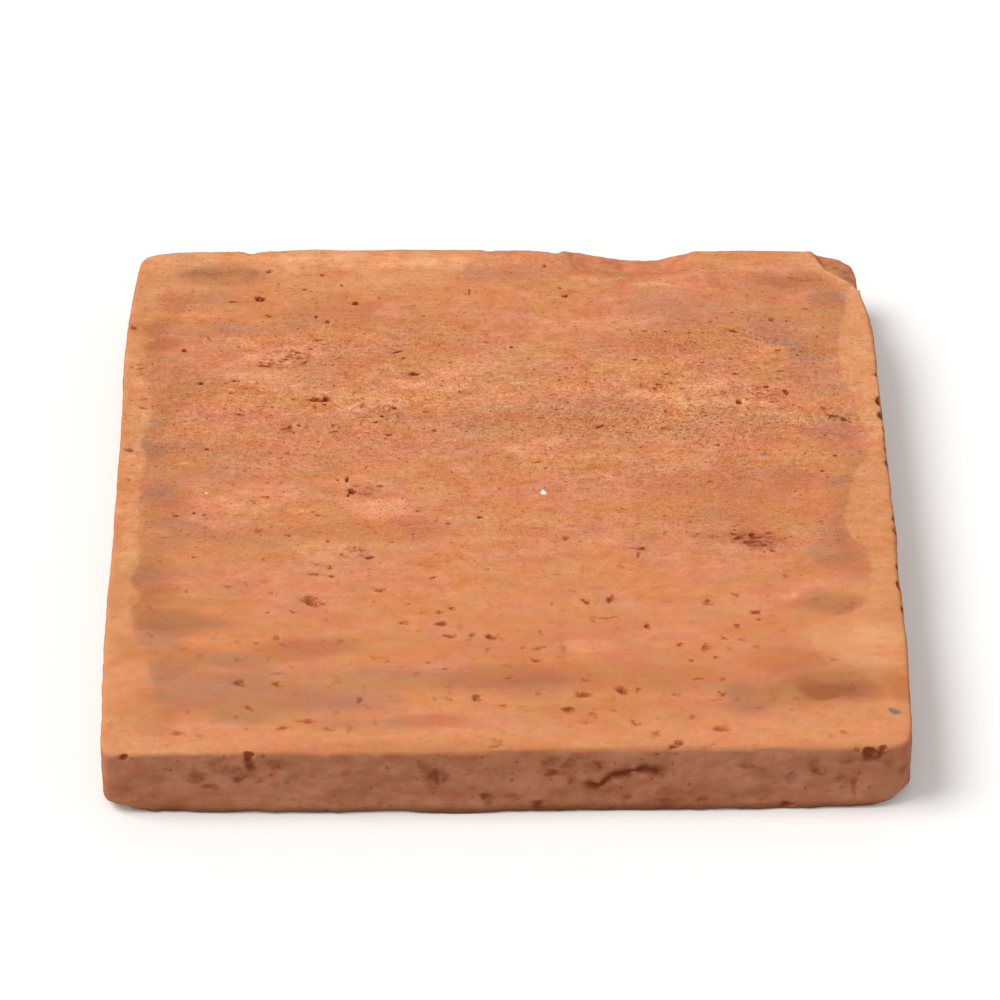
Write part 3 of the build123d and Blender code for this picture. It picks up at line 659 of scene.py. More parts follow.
def on_profile(s, t):
    """The place of each point of the sheet that covers the sides."""
    edge, outward = along_outline(s), outward_at(s)
    wobble = 0.12 * clouds(flat(*edge.T), 7, seed=22, octaves=4)
    edge = edge - outward * (0.05 + wobble)[:, None]
    radius = arris_at(edge, outward)
    bed_radius = BED_ARRIS * (1 + 0.3 * clouds(flat(*edge.T), 9, seed=23))
    draft = DRAFT + (BACK_DRAFT - DRAFT) * smooth(0.3, 0.9, outward[:, 1])
    front_draft = np.interp(edge[:, 0], *zip(*FRONT_DRAFT))
    draft = draft + (front_draft - draft) * smooth(0.3, 0.9, -outward[:, 1])
    turn = ramp(FACE_END, ARRIS_END, t) * math.pi / 2
    bed_turn = ramp(SIDE_END, BED_ARRIS_END, t) * math.pi / 2
    # how far inside the edge each point lies
    face_strip = (STRIP - radius) * (1 - ramp(0, FACE_END, t))
    bed_strip = (STRIP - bed_radius) * ramp(BED_ARRIS_END, PROFILE_END, t)
    inset = np.where(t <= ARRIS_END, radius * (1 - np.sin(turn)) + face_strip, 0)
    inset = np.where(t > SIDE_END, bed_radius * (1 - np.cos(bed_turn)) + bed_strip, inset)
    # how high each point lies
    side_top = THICKNESS - lost(*edge.T) - radius
    height = side_top + (bed_radius - side_top) * ramp(ARRIS_END, SIDE_END, t)
    height = np.where(t > SIDE_END, bed_radius * (1 - np.sin(bed_turn)), height)
    outset = draft * (1 - np.clip(height, 0, THICKNESS) / THICKNESS)
    place = edge + outward * (outset - inset)[:, None]
    face_height = THICKNESS - lost(*place.T) - radius * (1 - np.cos(turn))
    return np.column_stack([place, np.where(t <= ARRIS_END, face_height, height)])


in_front = np.flatnonzero((outline[:, 1] < -97.5) & (abs(outline[:, 0]) < 97))
in_front = in_front[np.argsort(outline[in_front, 0])]


def on_front(x, z):
    """The place on the sheet of a point of the front side."""
    down = (THICKNESS - FRONT_ARRIS - z) / (THICKNESS - FRONT_ARRIS - BED_ARRIS)
    t = ARRIS_END + max(down, HIGHEST_SHARE) * (SIDE_END - ARRIS_END)
    return float(np.interp(x, outline[in_front, 0], length_at[in_front])), t


# The marks of both faces, and the grains, as rows of one kind
face_marks = swollen(FACE_MARKS)
grain_marks = [(x, y, length, width, 0, turn) for x, y, length, width, turn, _, _ in GRAINS]
sheet_marks = []
for x, z, length, height, dark, turn in map(with_turn, FRONT_MARKS):
    sheet_marks.append((*on_front(x, z), length, height, dark, -turn))
sheet_crack = [on_front(x, z) for x, z in CRACK]

# The sheet of the sides
profile_rows = np.concatenate([
    [0, 1, FACE_END],
    np.linspace(FACE_END, ARRIS_END, ARRIS_ROWS)[1:],
    np.linspace(ARRIS_END, SIDE_END, SIDE_ROWS)[1:],
    np.linspace(SIDE_END, BED_ARRIS_END, BED_ARRIS_ROWS)[1:],
    [PROFILE_END],
])
inner_s, inner_t = np.meshgrid(column_s[1:-1], profile_rows[1:-1])
inner = clear_of_marks(np.column_stack([inner_s.ravel(), inner_t.ravel()]), sheet_marks, 1.75)
inner = inner[line_distance(*inner.T, sheet_crack) > CRACK_ROOM]
extra = rings_of(sheet_marks, SIDE_RING_STEP) + beside_line(sheet_crack, CRACK_STEP, BESIDE_CRACK)
extra = np.array(extra)
extra = extra[(extra[:, 1] > 0.4) & (extra[:, 1] < PROFILE_END - 1)]
seam_t = profile_rows[1:-1]
fixed = np.concatenate([
    np.column_stack([column_s, np.zeros(columns + 1)]),
    np.column_stack([column_s, np.full(columns + 1, PROFILE_END)]),
    np.column_stack([np.zeros(len(seam_t)), seam_t]),
    np.column_stack([np.full(len(seam_t), around), seam_t]),
])
side_points = np.concatenate([fixed, thinned(np.concatenate([extra, inner]), SIDE_GAP)])
# the two ends of the sheet are the same line on the slab
same = np.arange(len(side_points))
same[columns] = 0
same[2 * columns + 1] = columns + 1
seam_start = 2 * (columns + 1)
same[seam_start + len(seam_t):seam_start + 2 * len(seam_t)] = np.arange(seam_start, seam_start + len(seam_t))
side_faces = same[triangulated(side_points)][:, ::-1]
sides = on_profile(*side_points.T)
face_edge = sides[:columns, :2]
bed_edge = sides[columns + 1:2 * columns + 1, :2]
edge_outward = outward_at(column_s[:columns])


def deep_inside(points, edge, gap):
    """The points that lie inside the edge of the wearing face or of the bed by at least a gap."""
    keep = np.ones(len(points), bool)
    close = np.flatnonzero((abs(points) > 88).any(axis=1))
    for some in np.array_split(close, 1 + len(close) // 2000):
        away = np.hypot(points[some, None, 0] - edge[None, :, 0], points[some, None, 1] - edge[None, :, 1])
        nearest = away.argmin(axis=1)
        keep[some] = ((edge[nearest] - points[some]) * edge_outward[nearest]).sum(axis=1) > gap
    return points[keep]


def damage_distance(points):
    """How far inside the spall or the broken corner each point is; negative outside both."""
    return np.maximum(inside_distance(*points.T, SPALL_RIM), inside_distance(*points.T, BREAK_RIM))


# The wearing face inside that sheet, with more points where clay is lost or the colour changes
coarse_grid = grid(-100, 100, FACE_STEP)
fine_grid = grid(-100, 102, DAMAGE_STEP)
face_inner = np.concatenate([
    rings_of(face_marks, FACE_RING_STEP),
    rings_of(grain_marks, FACE_RING_STEP, FIRST_GRAIN),
    clear_of_marks(coarse_grid[damage_distance(coarse_grid) < -1.3], face_marks, 1.9),
    clear_of_marks(fine_grid[damage_distance(fine_grid) > -1.0], face_marks, 1.6),
])
face_inner = deep_inside(thinned(face_inner, FACE_GAP), face_edge, 0.45)
loop = [(number, (number + 1) % columns) for number in range(columns)]
face_faces = triangulated(np.concatenate([face_edge, face_inner]), loop)
face = np.column_stack([face_inner, THICKNESS - lost(*face_inner.T)])

# The bed inside the sheet
bed_inner = deep_inside(grid(-100, 100, BED_STEP), bed_edge, 2.5)
bed_faces = triangulated(np.concatenate([bed_edge, bed_inner]), loop)[:, ::-1]
bed_height = 0.12 * smooth(0, 12, (99 - abs(bed_inner)).min(axis=1))
bed = np.column_stack([bed_inner, bed_height * (1 + clouds(flat(*bed_inner.T), 30, seed=31))])

# One mesh: the points of the sheet come first, then the inner points of the face and of the bed
face_ids = np.concatenate([np.arange(columns), len(sides) + np.arange(len(face))])
bed_ids = np.concatenate([columns + 1 + np.arange(columns), len(sides) + len(face) + np.arange(len(bed))])
points = np.concatenate([sides, face, bed])
faces = np.concatenate([side_faces, face_ids[face_faces], bed_ids[bed_faces]])
off_sheet = np.full(len(points) - len(sides), -1.0)
sheet_s, sheet_t = (np.concatenate([column, off_sheet]) for column in side_points.T)
in_sheet = sheet_t > 0

# The marks sink into the surface, and the sides get the sandy waves that the mould left
out = facing(points, faces)
in_face = (sheet_t < FACE_END + 0.3) & (points[:, 2] > MID_HEIGHT)
depth, dark = marked(points[:, 0], points[:, 1], face_marks, 1.0, lambda place: smooth(-5, -45, place))
dark *= in_face
points[:, 2] -= depth * in_face
flank = smooth(FACE_END + 0.6, ARRIS_END, sheet_t) * fade(SIDE_END, BED_ARRIS_END + 1, sheet_t)
side_depth, side_dark = marked(sheet_s, sheet_t, sheet_marks, SIDE_MARK_DEPTH, lambda place: 1.0)
from_crack = line_distance(sheet_s, sheet_t, sheet_crack)
from_crack /= 1 + 0.45 * clouds(flat(sheet_s, sheet_t), 2.2, seed=53, octaves=2)
split = fade(0.1, 1.4, from_crack) * in_sheet
halo = fade(0.5, 2.6, from_crack) * in_sheet
side_depth = np.maximum(side_depth * in_sheet, CRACK_DEPTH * split)
side_dark = np.maximum(SIDE_MARK_SHADE * side_dark * in_sheet, CRACK_SHADE * split)
dark = np.maximum(dark, side_dark)
waves = 0.2 * clouds(points, (11, 11, 7), seed=51, octaves=2) + 0.13 * clouds(points, 3.4, seed=52) - 0.12
points = points - out * (side_depth - flank * waves)[:, None]

# Bites push the arrises in, out of an uneven ball, and get painted shade in their hollows
bitten = np.zeros(len(points))
every_bite = [(painted_bite_shade, row) for painted_bite_shade, rows in BITES for row in rows]
for index, (painted_bite_shade, row) in enumerate(every_bite):
    middle, radii = np.array(row[:3]), np.array(row[3:])
    near = np.flatnonzero((abs(points - middle) < radii * 1.5).all(axis=1))
    away = (points[near] - middle) / radii
    far = np.linalg.norm(away, axis=1)
    away /= np.maximum(far, 1e-6)[:, None]
    ball = 1 + 0.28 * clouds(away + index * BITE_SHIFT, 0.9, seed=61, octaves=2)
    pushed = np.maximum(ball - far, 0)
    points[near] += away * pushed[:, None] * radii
    bitten[near] = np.maximum(bitten[near], smooth(0, 0.35, pushed))
    # painted shade in the bite's hollow
    dark[near] = np.maximum(dark[near], painted_bite_shade * smooth(0, 0.45, pushed))

# The front corners of the bed are worn away upward and inward
for side, lift, pull, start, power in WORN_CORNERS:
    wear = ramp(start, 100, points[:, 0] * side) ** power * ramp(-88, -100, points[:, 1]) ** 2
    wear = wear * (1 + 0.25 * clouds(points, (3.5, 3.5, 5), seed=57, octaves=2))
    lower = np.clip(1 - points[:, 2] / THICKNESS, 0, 1)
    points[:, 0] -= side * pull * wear * lower**2
    points[:, 1] += 0.5 * pull * wear * lower**2
    points[:, 2] += lift * wear * lower**3

low, high = (np.array(corner) / MM for corner in cad_box)
points = np.clip(points, low + BOX_ROOM, high - BOX_ROOM)

# The field inside the paler margin, anticlockwise
FIELD = (
    (-86, -88.6), (-60, -91.6), (-20, -92.6), (20, -92.1), (50, -90.6), (72, -88.6), (84, -86.6),
    (90, -82.6), (90.5, -75.6), (88, -70.6), (80, -66.6), (76, -62.6), (73, -57.6), (76, -53.6),
    (80, -52.6), (86, -49.6), (90, -46.6), (92, -40.6), (92.8, -33.6), (92.5, -25.6), (90.5, -23.1),
    (88.5, -20.6), (87.3, -16.6), (87, -12.6), (88, -9.6), (88.7, -5.6), (89.3, -2.1), (90, 0.9),
    (90.5, 3.9), (91.5, 6.4), (93.5, 8.9), (94.5, 11.4), (95.2, 14.4), (97.3, 16.4), (97.3, 17.4),
    (96.2, 19.2), (95.3, 20.9), (94.5, 24.4), (93.5, 27.4), (92.8, 31.4), (93, 35.4), (90.5, 41.4),
    (89.5, 54.4), (90.5, 65.4), (93, 73.4), (93, 81.4), (86, 89.4), (80, 93.4), (66, 94.4), (55, 96.4),
    (45, 102.4), (-4, 102.4), (-8, 94.4), (-16, 85.4), (-40, 83.9), (-70, 82.9), (-89, 82.9), (-92.5, 75.4),
    (-94, 61.4), (-96, 51.4), (-95.5, 43.4), (-93.5, 39.4), (-92, 34.4), (-93, 27.4), (-94, 19.4),
    (-92.5, 9.4), (-93, 1.4), (-93.5, -5.6), (-93.5, -28.6), (-94, -38.6), (-92.4, -47.6), (-92, -54.6),
    (-90, -60.6), (-89, -66.6), (-88.5, -74.6), (-87.5, -81.6),
)
# Patches of colour in the wearing face: x, y, half sizes and strength. First where it is dull.
DULL = (
    (-72, 90, 13, 4.6, 0.8), (-76, 77.5, 15, 2.6, 0.5), (-77, 66, 15, 2.8, 0.5), (-23, 76, 8, 4, 0.15),
    (4, 90, 22, 4, 0.35), (52, 73, 22, 9, 0.3), (70, 82, 12, 5, 0.35), (82, 56, 9, 6, 0.85),
    (78, 66, 10, 6, 0.45), (84, 43, 10, 6, 0.3), (86, 24, 9, 7, 0.4), (88, 2, 7, 14, 0.75),
    (87, -24, 8, 12, 0.55), (82, -46.5, 10, 5.5, 0.4), (80, -76, 14, 9, 0.5), (64, -81, 9, 6, 0.9),
    (-89.5, 21, 5, 14, 0.8), (-87, -16, 6.5, 11, 0.5), (-87, -60, 6.5, 7, 0.5), (-87, -7, 6, 12, 0.5),
    (-80, 11, 13, 9, 0.3), (-88, -32.5, 6, 10, 0.6), (-82, -52.5, 10, 5, 0.85), (-84, -70, 8, 6, 0.8),
    (-60, -79, 28, 9, 0.8), (-62, -85.5, 9, 4, 0.9), (-30, -74.5, 42, 4, 0.6), (-72, -66, 20, 4, 0.8),
    (-6, -74.5, 14, 5, 0.5), (30, 27, 40, 7, 0.3), (45, 6, 22, 7, 0.2), (-36, -90, 10, 2.5, 0.6),
    (8, -80, 12, 3, 0.4), (96, 61, 5, 16, 0.15), (-66, -22, 10, 4, 0.4), (-78, 40, 10, 5, 0.3),
    (60, 10, 12, 4, 0.25), (90, 74, 5, 8, 0.7), (76, 71, 12, 4, 0.5),
)
# Where it is redder
RUDDY = (
    (-73, 90, 11, 3.8, 0.45), (-91, 67, 5, 14, 0.5), (-40, 71, 22, 9, 0.25), (-30, 60, 30, 10, 0.15),
    (80, 86, 9, 4, 0.35), (40, 59, 20, 7, 0.2), (66, -66.5, 12, 5, 0.5), (74, -80.5, 6, 4, 1.5),
    (82, -80, 5, 2.6, 0.9), (79, -77, 13, 8, 0.8), (-38, -16.5, 26, 4, 0.4), (96, -77, 5, 7, 0.5),
    (86, -14, 7, 16, 0.35), (-97, 26, 3.5, 9, 0.2), (-58, 15, 30, 9, 0.05), (-86, -3, 5, 6, 0.15),
    (-82, -52, 9, 4, 0.4), (-60, -48, 30, 7, 0.15), (40, -60, 60, 10, 0.2), (60, -6.5, 26, 12, 0.3),
    (20, -72.5, 40, 6, 0.5), (-90, -85, 8, 8, 0.4), (76, 3.5, 10, 8, 0.35), (30, -86, 24, 4, 0.25),
    (-88, -32, 5, 9, 0.2), (-88.5, -45, 6, 8, 0.5), (-98.5, -45, 4, 40, 0.32), (-98, 68, 4, 12, 0.2),
    (66, -80, 8, 5, 0.5), (-45, -61, 14, 5, 0.6), (-22, -88, 10, 3, 0.4), (82, -46.5, 10, 5.5, 0.5),
    (-66, -22, 9, 4, 0.3), (-6, -74, 16, 4, 0.4), (62, -22, 10, 4, 0.5), (38, 90, 13, 4, 0.3),
    (57, 84, 3, 2, 0.4), (-99, 40, 3, 60, 0.2), (88, 66, 5, 20, 0.2), (85, -31, 7, 6, 0.3),
    (10, -100, 90, 4, 0.35),
)
# Where it is paler
PALE = (
    (44, -56.5, 14, 7, 0.5), (24, -62.5, 8.5, 3.2, 1.3), (72.5, -43.5, 2.4, 1.8, 0.8), (60, -48, 8, 4, 0.1),
    (-75, -47, 6, 1.2, 0.9), (-78, -60, 8, 1.6, 0.3), (-52, -10.5, 9, 4, 0.7), (-28, -9.5, 6, 5, 1.4),
    (-46, -25.5, 8, 5, 0.7), (-68, 41.5, 8, 5, 1.25), (-83, 72.5, 7, 2, 0.6), (0, 40.5, 24, 5, 0.6),
    (50, 37.5, 16, 6, 1.1), (-10, 48, 14, 4, 0.6), (5, 66, 14, 4, 0.3), (-23, 76, 10, 4, 0.75),
    (30, 67.5, 16, 5, 0.3), (10, 14.5, 9, 4, 1.3), (-76, -10.5, 9, 2, 0.15), (-57, 55.5, 16, 4, 0.9),
    (-60, -48, 24, 3, 0.15), (-68, -4, 8, 4, 0.4), (-12, 40, 24, 6, 0.85), (-40, 36, 24, 6, 0.7),
    (-50, 94, 46, 3.5, 1), (-97, 0, 3, 60, 0.15), (-40, 62, 20, 6, 0.3), (-60, 0, 24, 6, 0.2),
    (60, 30, 24, 6, 0.4), (34, 47, 20, 6, 0.35), (30, 8, 24, 6, 0.35), (95.5, 50, 4, 26, 0.2),
    (96, 58, 3, 8, 0.4), (97, 20, 3, 7, 0.6), (60, -63, 9, 4, 0.35), (92, -62, 7, 9, 0.3),
    (-97.5, 34, 4, 14, 0.5),
)
# Where it is sandy and gritty
GRIT = (
    (0, 33, 105, 24, 0.75), (45, 28, 50, 14, 1.0), (-40, 58, 45, 12, 0.6), (60, 55, 34, 14, 0.7),
    (30, 8, 60, 12, 0.6), (-60, 18, 40, 14, 0.6), (0, -10, 90, 10, 0.3), (60, -20, 24, 8, 0.4),
)
# Where the skin has crumbled away
CRUMBLY = (
    (63.8, -21.8, 5.6, 3.6, 0.85), (68, 38.5, 8, 3.6, 0.75), (43.5, 41.5, 5, 2.4, 0.9),
    (-48, 35.5, 6.5, 2.2, 1.0), (-55, 24.5, 3.4, 2.2, 0.8), (48, 59.5, 11, 6, 0.5), (64, 63, 5, 2.4, 0.7),
    (-57, 52, 8, 2.6, 0.9), (-39, -25.5, 5.5, 3.2, 0.55), (-40, 0, 4, 3.4, 0.8), (34.5, -25, 3, 2, 0.3),
    (-29.5, 29.5, 5, 3, 0.6), (-48, -43.6, 4, 2.4, 0.3), (80, 87, 6, 3, 0.5), (86, 28, 6, 2.4, 0.6),
    (-68, 40, 6, 3.4, 0.85), (-62, 34, 5, 2.2, 0.6), (-24, 46.5, 4.5, 2.4, 0.7), (26, 24.5, 5, 2, 0.6),
    (73, 46, 5, 2.4, 0.5), (10, 14, 8, 3, 0.5), (52, -19, 5, 1.8, 0.35), (-84, 40, 5, 3, 0.4),
    (30, 90, 10, 3, 0.4),
)


def fields(rows, x, y, seed, fineness=(1, 1)):
    """How strongly patches lie at points. Their borders wander, in finer steps where fineness is over 1."""
    place = flat(x * fineness[0], y * fineness[1])
    moved_x = x + 5 * clouds(place, (22, 9, 1), seed) / fineness[0]
    moved_y = y + 1.8 * clouds(place, (26, 7, 1), seed + 5) / fineness[1]
    total = np.zeros(len(x))
    for patch_x, patch_y, half_x, half_y, strength in rows:
        away = np.hypot((moved_x - patch_x) / half_x, (moved_y - patch_y) / half_y)
        total = np.maximum(total, strength * fade(0.5, 1.35, away))
    return total


# Where the field ends, and how soft its border is at each side
x, y, z = points.T
on_top = (z > MID_HEIGHT).astype(float)
ragged_x = x + 1.7 * smooth(20, -40, x) * clouds(flat(x, y), (9, 6, 1), seed=131)
border = -inside_distance(ragged_x, y, FIELD)
softness = np.interp(x, (-94, -84, 80, 88), (1.5, 3.6, 3.0, 0.6))
softness = np.where(y > 80, np.maximum(softness, 3.5), np.where(y < -84, 4.0, softness))
softness = np.where((x < 0) & (y < -55), 3.5, softness)
in_margin = np.minimum(border / softness, 1.2 - 1.25 * smooth(-84, -90, y))
past_border = smooth(-0.2, 0.6, border)
kept_right = 1 - 0.8 * past_border * smooth(82, 86, x) * fade(76, 80, y) * smooth(-66, -60, y)
kept_left = 1 - 0.85 * past_border * smooth(-80, -84, x) * fade(60, 66, y) * smooth(-76, -70, y)
left_shade = smooth(0.4, -0.6, border) * smooth(-20, -4, border) * smooth(-66, -84, x)
left_shade *= smooth(-84, -74, y) * fade(48, 66, y) * on_top

# The colours of the break and the spall, with painted highlight on the rims below them and painted shade at
# the foot of the break's step
in_break, in_spall = inside_distance(x, y, BREAK_RIM), inside_distance(x, y, SPALL_RIM)
break_top = on_top * smooth(9.5, 11.5, z) * (1 - 0.85 * smooth(0.3, 0.95, flank))
# painted shade at the foot of the break's steep wall
painted_step_shade = smooth(0, 0.5, in_break) * fade(1.2, 2.6, in_break) * fade(91, 94, y)
dark = np.maximum(dark, 0.42 * painted_step_shade * break_top)
chipped = smooth(0.15, 0.7, spall_depth(x, y)) * break_top
fresh = np.maximum(smooth(0.15, 0.7, break_depth(x, y)) * break_top, 0.8 * bitten)
# a painted highlight along the rims below the break and the spall
break_rim_highlight = smooth(-1.6, -0.7, in_break) * smooth(0, -0.4, in_break) * fade(88, 91, y)
spall_rim_highlight = smooth(-4, -2.6, in_spall) * fade(-1, -0.2, in_spall) * fade(87, 89, y)
painted_rim_highlight = np.maximum(1.1 * break_rim_highlight, 0.7 * spall_rim_highlight) * on_top

# The stains of the front side
sheet_stains = [(*on_front(stain_x, stain_z), *rest) for stain_x, stain_z, *rest in SIDE_STAINS]
side_stain = fields(sheet_stains, sheet_s, sheet_t, seed=121, fineness=(4, 1.8)) * in_sheet

values = {
    "mark": dark,
    "shade": left_shade,
    # painted shade along the foot of the sides, where the tile meets the floor
    "painted_foot_shade": fade(0.4, 3.2, z) * in_sheet,
    "stained": np.maximum(0.85 * side_stain, 0.8 * halo),
    "fresh": fresh,
    "margin": in_margin,
    "dull": fields(DULL, x, y, seed=71) * kept_right * kept_left,
    "ruddy": fields(RUDDY, x, y, seed=81) * kept_right,
    "spalled": chipped,
    "pale_and_rim_highlight": np.maximum(fields(PALE, x, y, seed=91), painted_rim_highlight),
    "sandy": fields(GRIT, x, y, seed=101) - 0.3 * smooth(-25, -55, y),
    "crumbly": fields(CRUMBLY, x, y, seed=111) * on_top,
    "busy": (1 - 0.62 * smooth(-10, -60, y)) * (1 - 0.2 * smooth(-0.5, 0.5, border)) * (1 - 0.8 * flank),
    "flank": np.maximum(flank, 1 - on_top),
}
grain_colour = np.zeros((len(points), 4))
for index, row in enumerate(grain_marks):
    *_, tint, cover = GRAINS[index]
    reach = mark_reach(x, y, row, index + FIRST_GRAIN)
    close = (reach < 1.6) & (on_top > 0)
    grain_colour[close, :3] = tint
    grain_colour[close, 3] = cover * fade(0.75, 1.15, reach[close])

mesh = bpy.data.meshes.new("tile_clay")
mesh.vertices.add(len(points))
mesh.vertices.foreach_set("co", (points * MM).astype(np.float32).ravel())
mesh.loops.add(len(faces) * 3)
mesh.loops.foreach_set("vertex_index", faces.astype(np.int32).ravel())
mesh.polygons.add(len(faces))
mesh.polygons.foreach_set("loop_start", np.arange(0, len(faces) * 3, 3, dtype=np.int32))
mesh.polygons.foreach_set("loop_total", np.full(len(faces), 3, dtype=np.int32))
mesh.polygons.foreach_set("use_smooth", np.ones(len(faces), bool))
mesh.update(calc_edges=True)
mesh.validate(verbose=False)
for name, numbers in values.items():
    layer = mesh.attributes.new(name, "FLOAT", "POINT")
    layer.data.foreach_set("value", numbers.astype(np.float32))
layer = mesh.attributes.new("grain", "FLOAT_COLOR", "POINT")
layer.data.foreach_set("color", grain_colour.astype(np.float32).ravel())
tile = bpy.data.objects.new("tile_clay", mesh)
bpy.context.scene.collection.objects.link(tile)


class Nodes:
    """A node tree, built from the inside out: each call adds one node and gives its output."""

    def __init__(self, owner):
        owner.use_nodes = True
        self.tree = owner.node_tree
        self.tree.nodes.clear()

    def add(self, kind, inputs=(), output=0, **settings):
        node = self.tree.nodes.new("ShaderNode" + kind)
        for key, value in settings.items():
            setattr(node, key, value)
        for key, value in dict(inputs).items():
            if isinstance(value, bpy.types.NodeSocket):
                self.tree.links.new(value, node.inputs[key])
            else:
                node.inputs[key].default_value = value
        return node.outputs[output] if node.outputs else None

    def value(self, name):
        """A value that the mesh carries at its points."""
        return self.add("Attribute", output="Fac", attribute_name=name)

    def math(self, operation, first, second=0.0, third=0.0):
        return self.add("Math", {0: first, 1: second, 2: third}, operation=operation)

    def noise(self, place, scale, detail=3.0, roughness=0.55):
        inputs = {"Vector": place, "Scale": scale, "Detail": detail, "Roughness": roughness}
        return self.add("TexNoise", inputs, "Fac")

    def scaled(self, place, factors):
        return self.add("VectorMath", {0: place, 1: factors}, operation="MULTIPLY")

    def step(self, value, low, high, out_low=0.0, out_high=1.0):
        """One value at low and beyond it, another at high and beyond it, and a soft step between them."""
        inputs = {"Value": value, "From Min": low, "From Max": high, "To Min": out_low, "To Max": out_high}
        return self.add("MapRange", inputs, interpolation_type="SMOOTHSTEP")

    def mix(self, factor, first, second, blend="MIX"):
        inputs = {"Factor": factor, 6: first, 7: second}
        return self.add("Mix", inputs, 2, data_type="RGBA", blend_type=blend, clamp_factor=True)


def colour(red, green, blue):
    return (red, green, blue, 1.0)


# The terracotta
clay_material = bpy.data.materials.new("terracotta")
clay = Nodes(clay_material)
place = clay.scaled(clay.add("TexCoord", output="Object"), (1 / MM, 1 / MM, 1 / MM))

# What a dark and a light spot of clay do to the colour under them
DARKER = colour(0.72, 0.57, 0.40)
LIGHTER = colour(1.23, 1.38, 1.60)


def forms(along, across, detail=4.0, roughness=0.62):
    """Noise whose forms have this size in millimetres along X and across it."""
    return clay.noise(clay.scaled(place, (1 / along, 1 / across, 1 / across)), 1.0, detail, roughness)


def times(first, second):
    return clay.math("MULTIPLY", first, second)


def plus(first, second):
    return clay.math("ADD", first, second)


def minus(first, second):
    return clay.math("SUBTRACT", first, second)


def slope(value, factor, start):
    """The value times a factor, plus a start."""
    return clay.math("MULTIPLY_ADD", value, factor, start)


def over(base, mask, strength, tone):
    """A colour laid over another where a mask says."""
    return clay.mix(times(mask, strength), base, tone)


def dyed(base, mask, tint):
    """The colour times a tint where a mask says."""
    return clay.mix(mask, base, tint, "MULTIPLY")


def two_tone(noise, low, high, first, second):
    """One colour where a noise is low, and another where it is high."""
    return clay.mix(clay.step(noise, low, high), first, second)


def mottled(base, noise, strength):
    """The colour made darker and lighter by a noise."""
    return dyed(base, strength, two_tone(noise, 0.3, 0.7, DARKER, LIGHTER))


flank_value = clay.value("flank")
field = minus(1.0, flank_value)
sandy = clay.value("sandy")
busy = clay.value("busy")

# streaks along X, where the clay was struck off, and clouds, grain and sand of all sizes
broad = forms(44, 12)
hue = forms(17, 8, 3.0, 0.5)
drift = forms(30, 13, 4.0, 0.55)
band = forms(13, 5.0, 4.0, 0.66)
streak = forms(9, 1.0, 3.0, 0.65)
blotch = forms(4.2, 3.2, 4.0, 0.66)
coarse = forms(1.5, 1.15, 3.0, 0.68)
sand = forms(0.52, 0.48, 2.0, 0.7)

# the body of the clay: orange, pink, sandy beige and reddish brown
base = two_tone(hue, 0.42, 0.58, colour(0.745, 0.284, 0.108), colour(0.755, 0.278, 0.138))
beige = times(clay.step(drift, 0.46, 0.62), slope(sandy, 0.30, 0.18))
base = clay.mix(beige, base, colour(0.690, 0.312, 0.136))
base = over(base, clay.step(broad, 0.52, 0.64), 0.35, colour(0.655, 0.215, 0.090))
base = over(base, clay.step(drift, 0.42, 0.30), 0.40, colour(0.800, 0.330, 0.158))
base = over(base, clay.step(forms(11, 5, 3.0, 0.52), 0.53, 0.66), 0.45, colour(0.640, 0.300, 0.124))

# the margin is paler and plainer than the field
edge_noise = slope(clay.noise(place, 0.6, 5.0, 0.66), 2.0, -1.0)
margin = times(clay.step(plus(clay.value("margin"), edge_noise), -0.55, 0.55), field)
margin_tone = two_tone(drift, 0.38, 0.62, colour(0.755, 0.300, 0.120), colour(0.815, 0.365, 0.163))
margin_tone = over(margin_tone, clay.step(blotch, 0.5, 0.7), 0.4, colour(0.72, 0.265, 0.108))
base = over(base, margin, 0.85, margin_tone)

# patches of the wearing face, with worn borders
worn = clay.step(plus(plus(band, blotch), hue), 1.20, 1.80, -0.75, 0.75)
worn = slope(worn, clay.step(busy, 0.2, 0.9, 0.3, 1.0), 1.0)
base = dyed(base, times(clay.value("shade"), 0.27), colour(0.74, 0.70, 0.72))
# the pale patches also carry the painted highlight along the rims of the break and the spall
for name, tint in (
    ("ruddy", colour(0.66, 0.52, 0.40)),
    ("dull", colour(0.70, 0.78, 0.89)),
    ("pale_and_rim_highlight", colour(1.16, 1.24, 1.26)),
):
    patch = clay.math("MINIMUM", times(times(clay.value(name), worn), 0.9), 1.0)
    base = dyed(base, times(patch, field), tint)

# sides: duller, in reddish and brown clouds, with brown stains, and painted shade along their foot
side_cloud = forms(7, 4.2, 3.0, 0.55)
side_tone = two_tone(side_cloud, 0.34, 0.66, colour(0.560, 0.212, 0.100), colour(0.650, 0.270, 0.145))
side_tone = over(side_tone, clay.step(forms(5.5, 4, 3.0, 0.5), 0.53, 0.67), 0.50, colour(0.56, 0.150, 0.062))
side_tone = over(side_tone, clay.step(hue, 0.54, 0.70), 0.55, colour(0.46, 0.170, 0.075))
side_tone = dyed(side_tone, clay.step(forms(1.9, 1.7, 2.0, 0.5), 0.64, 0.76), colour(0.70, 0.55, 0.45))
stained = times(clay.value("stained"), clay.step(forms(2.6, 2.2, 3.0, 0.6), 0.30, 0.56, 0.35, 1.0))
side_tone = dyed(side_tone, stained, colour(0.46, 0.28, 0.16))
# painted shade along the foot of the sides
side_tone = dyed(side_tone, clay.value("painted_foot_shade"), colour(0.44, 0.43, 0.40))
base = clay.mix(flank_value, base, side_tone)

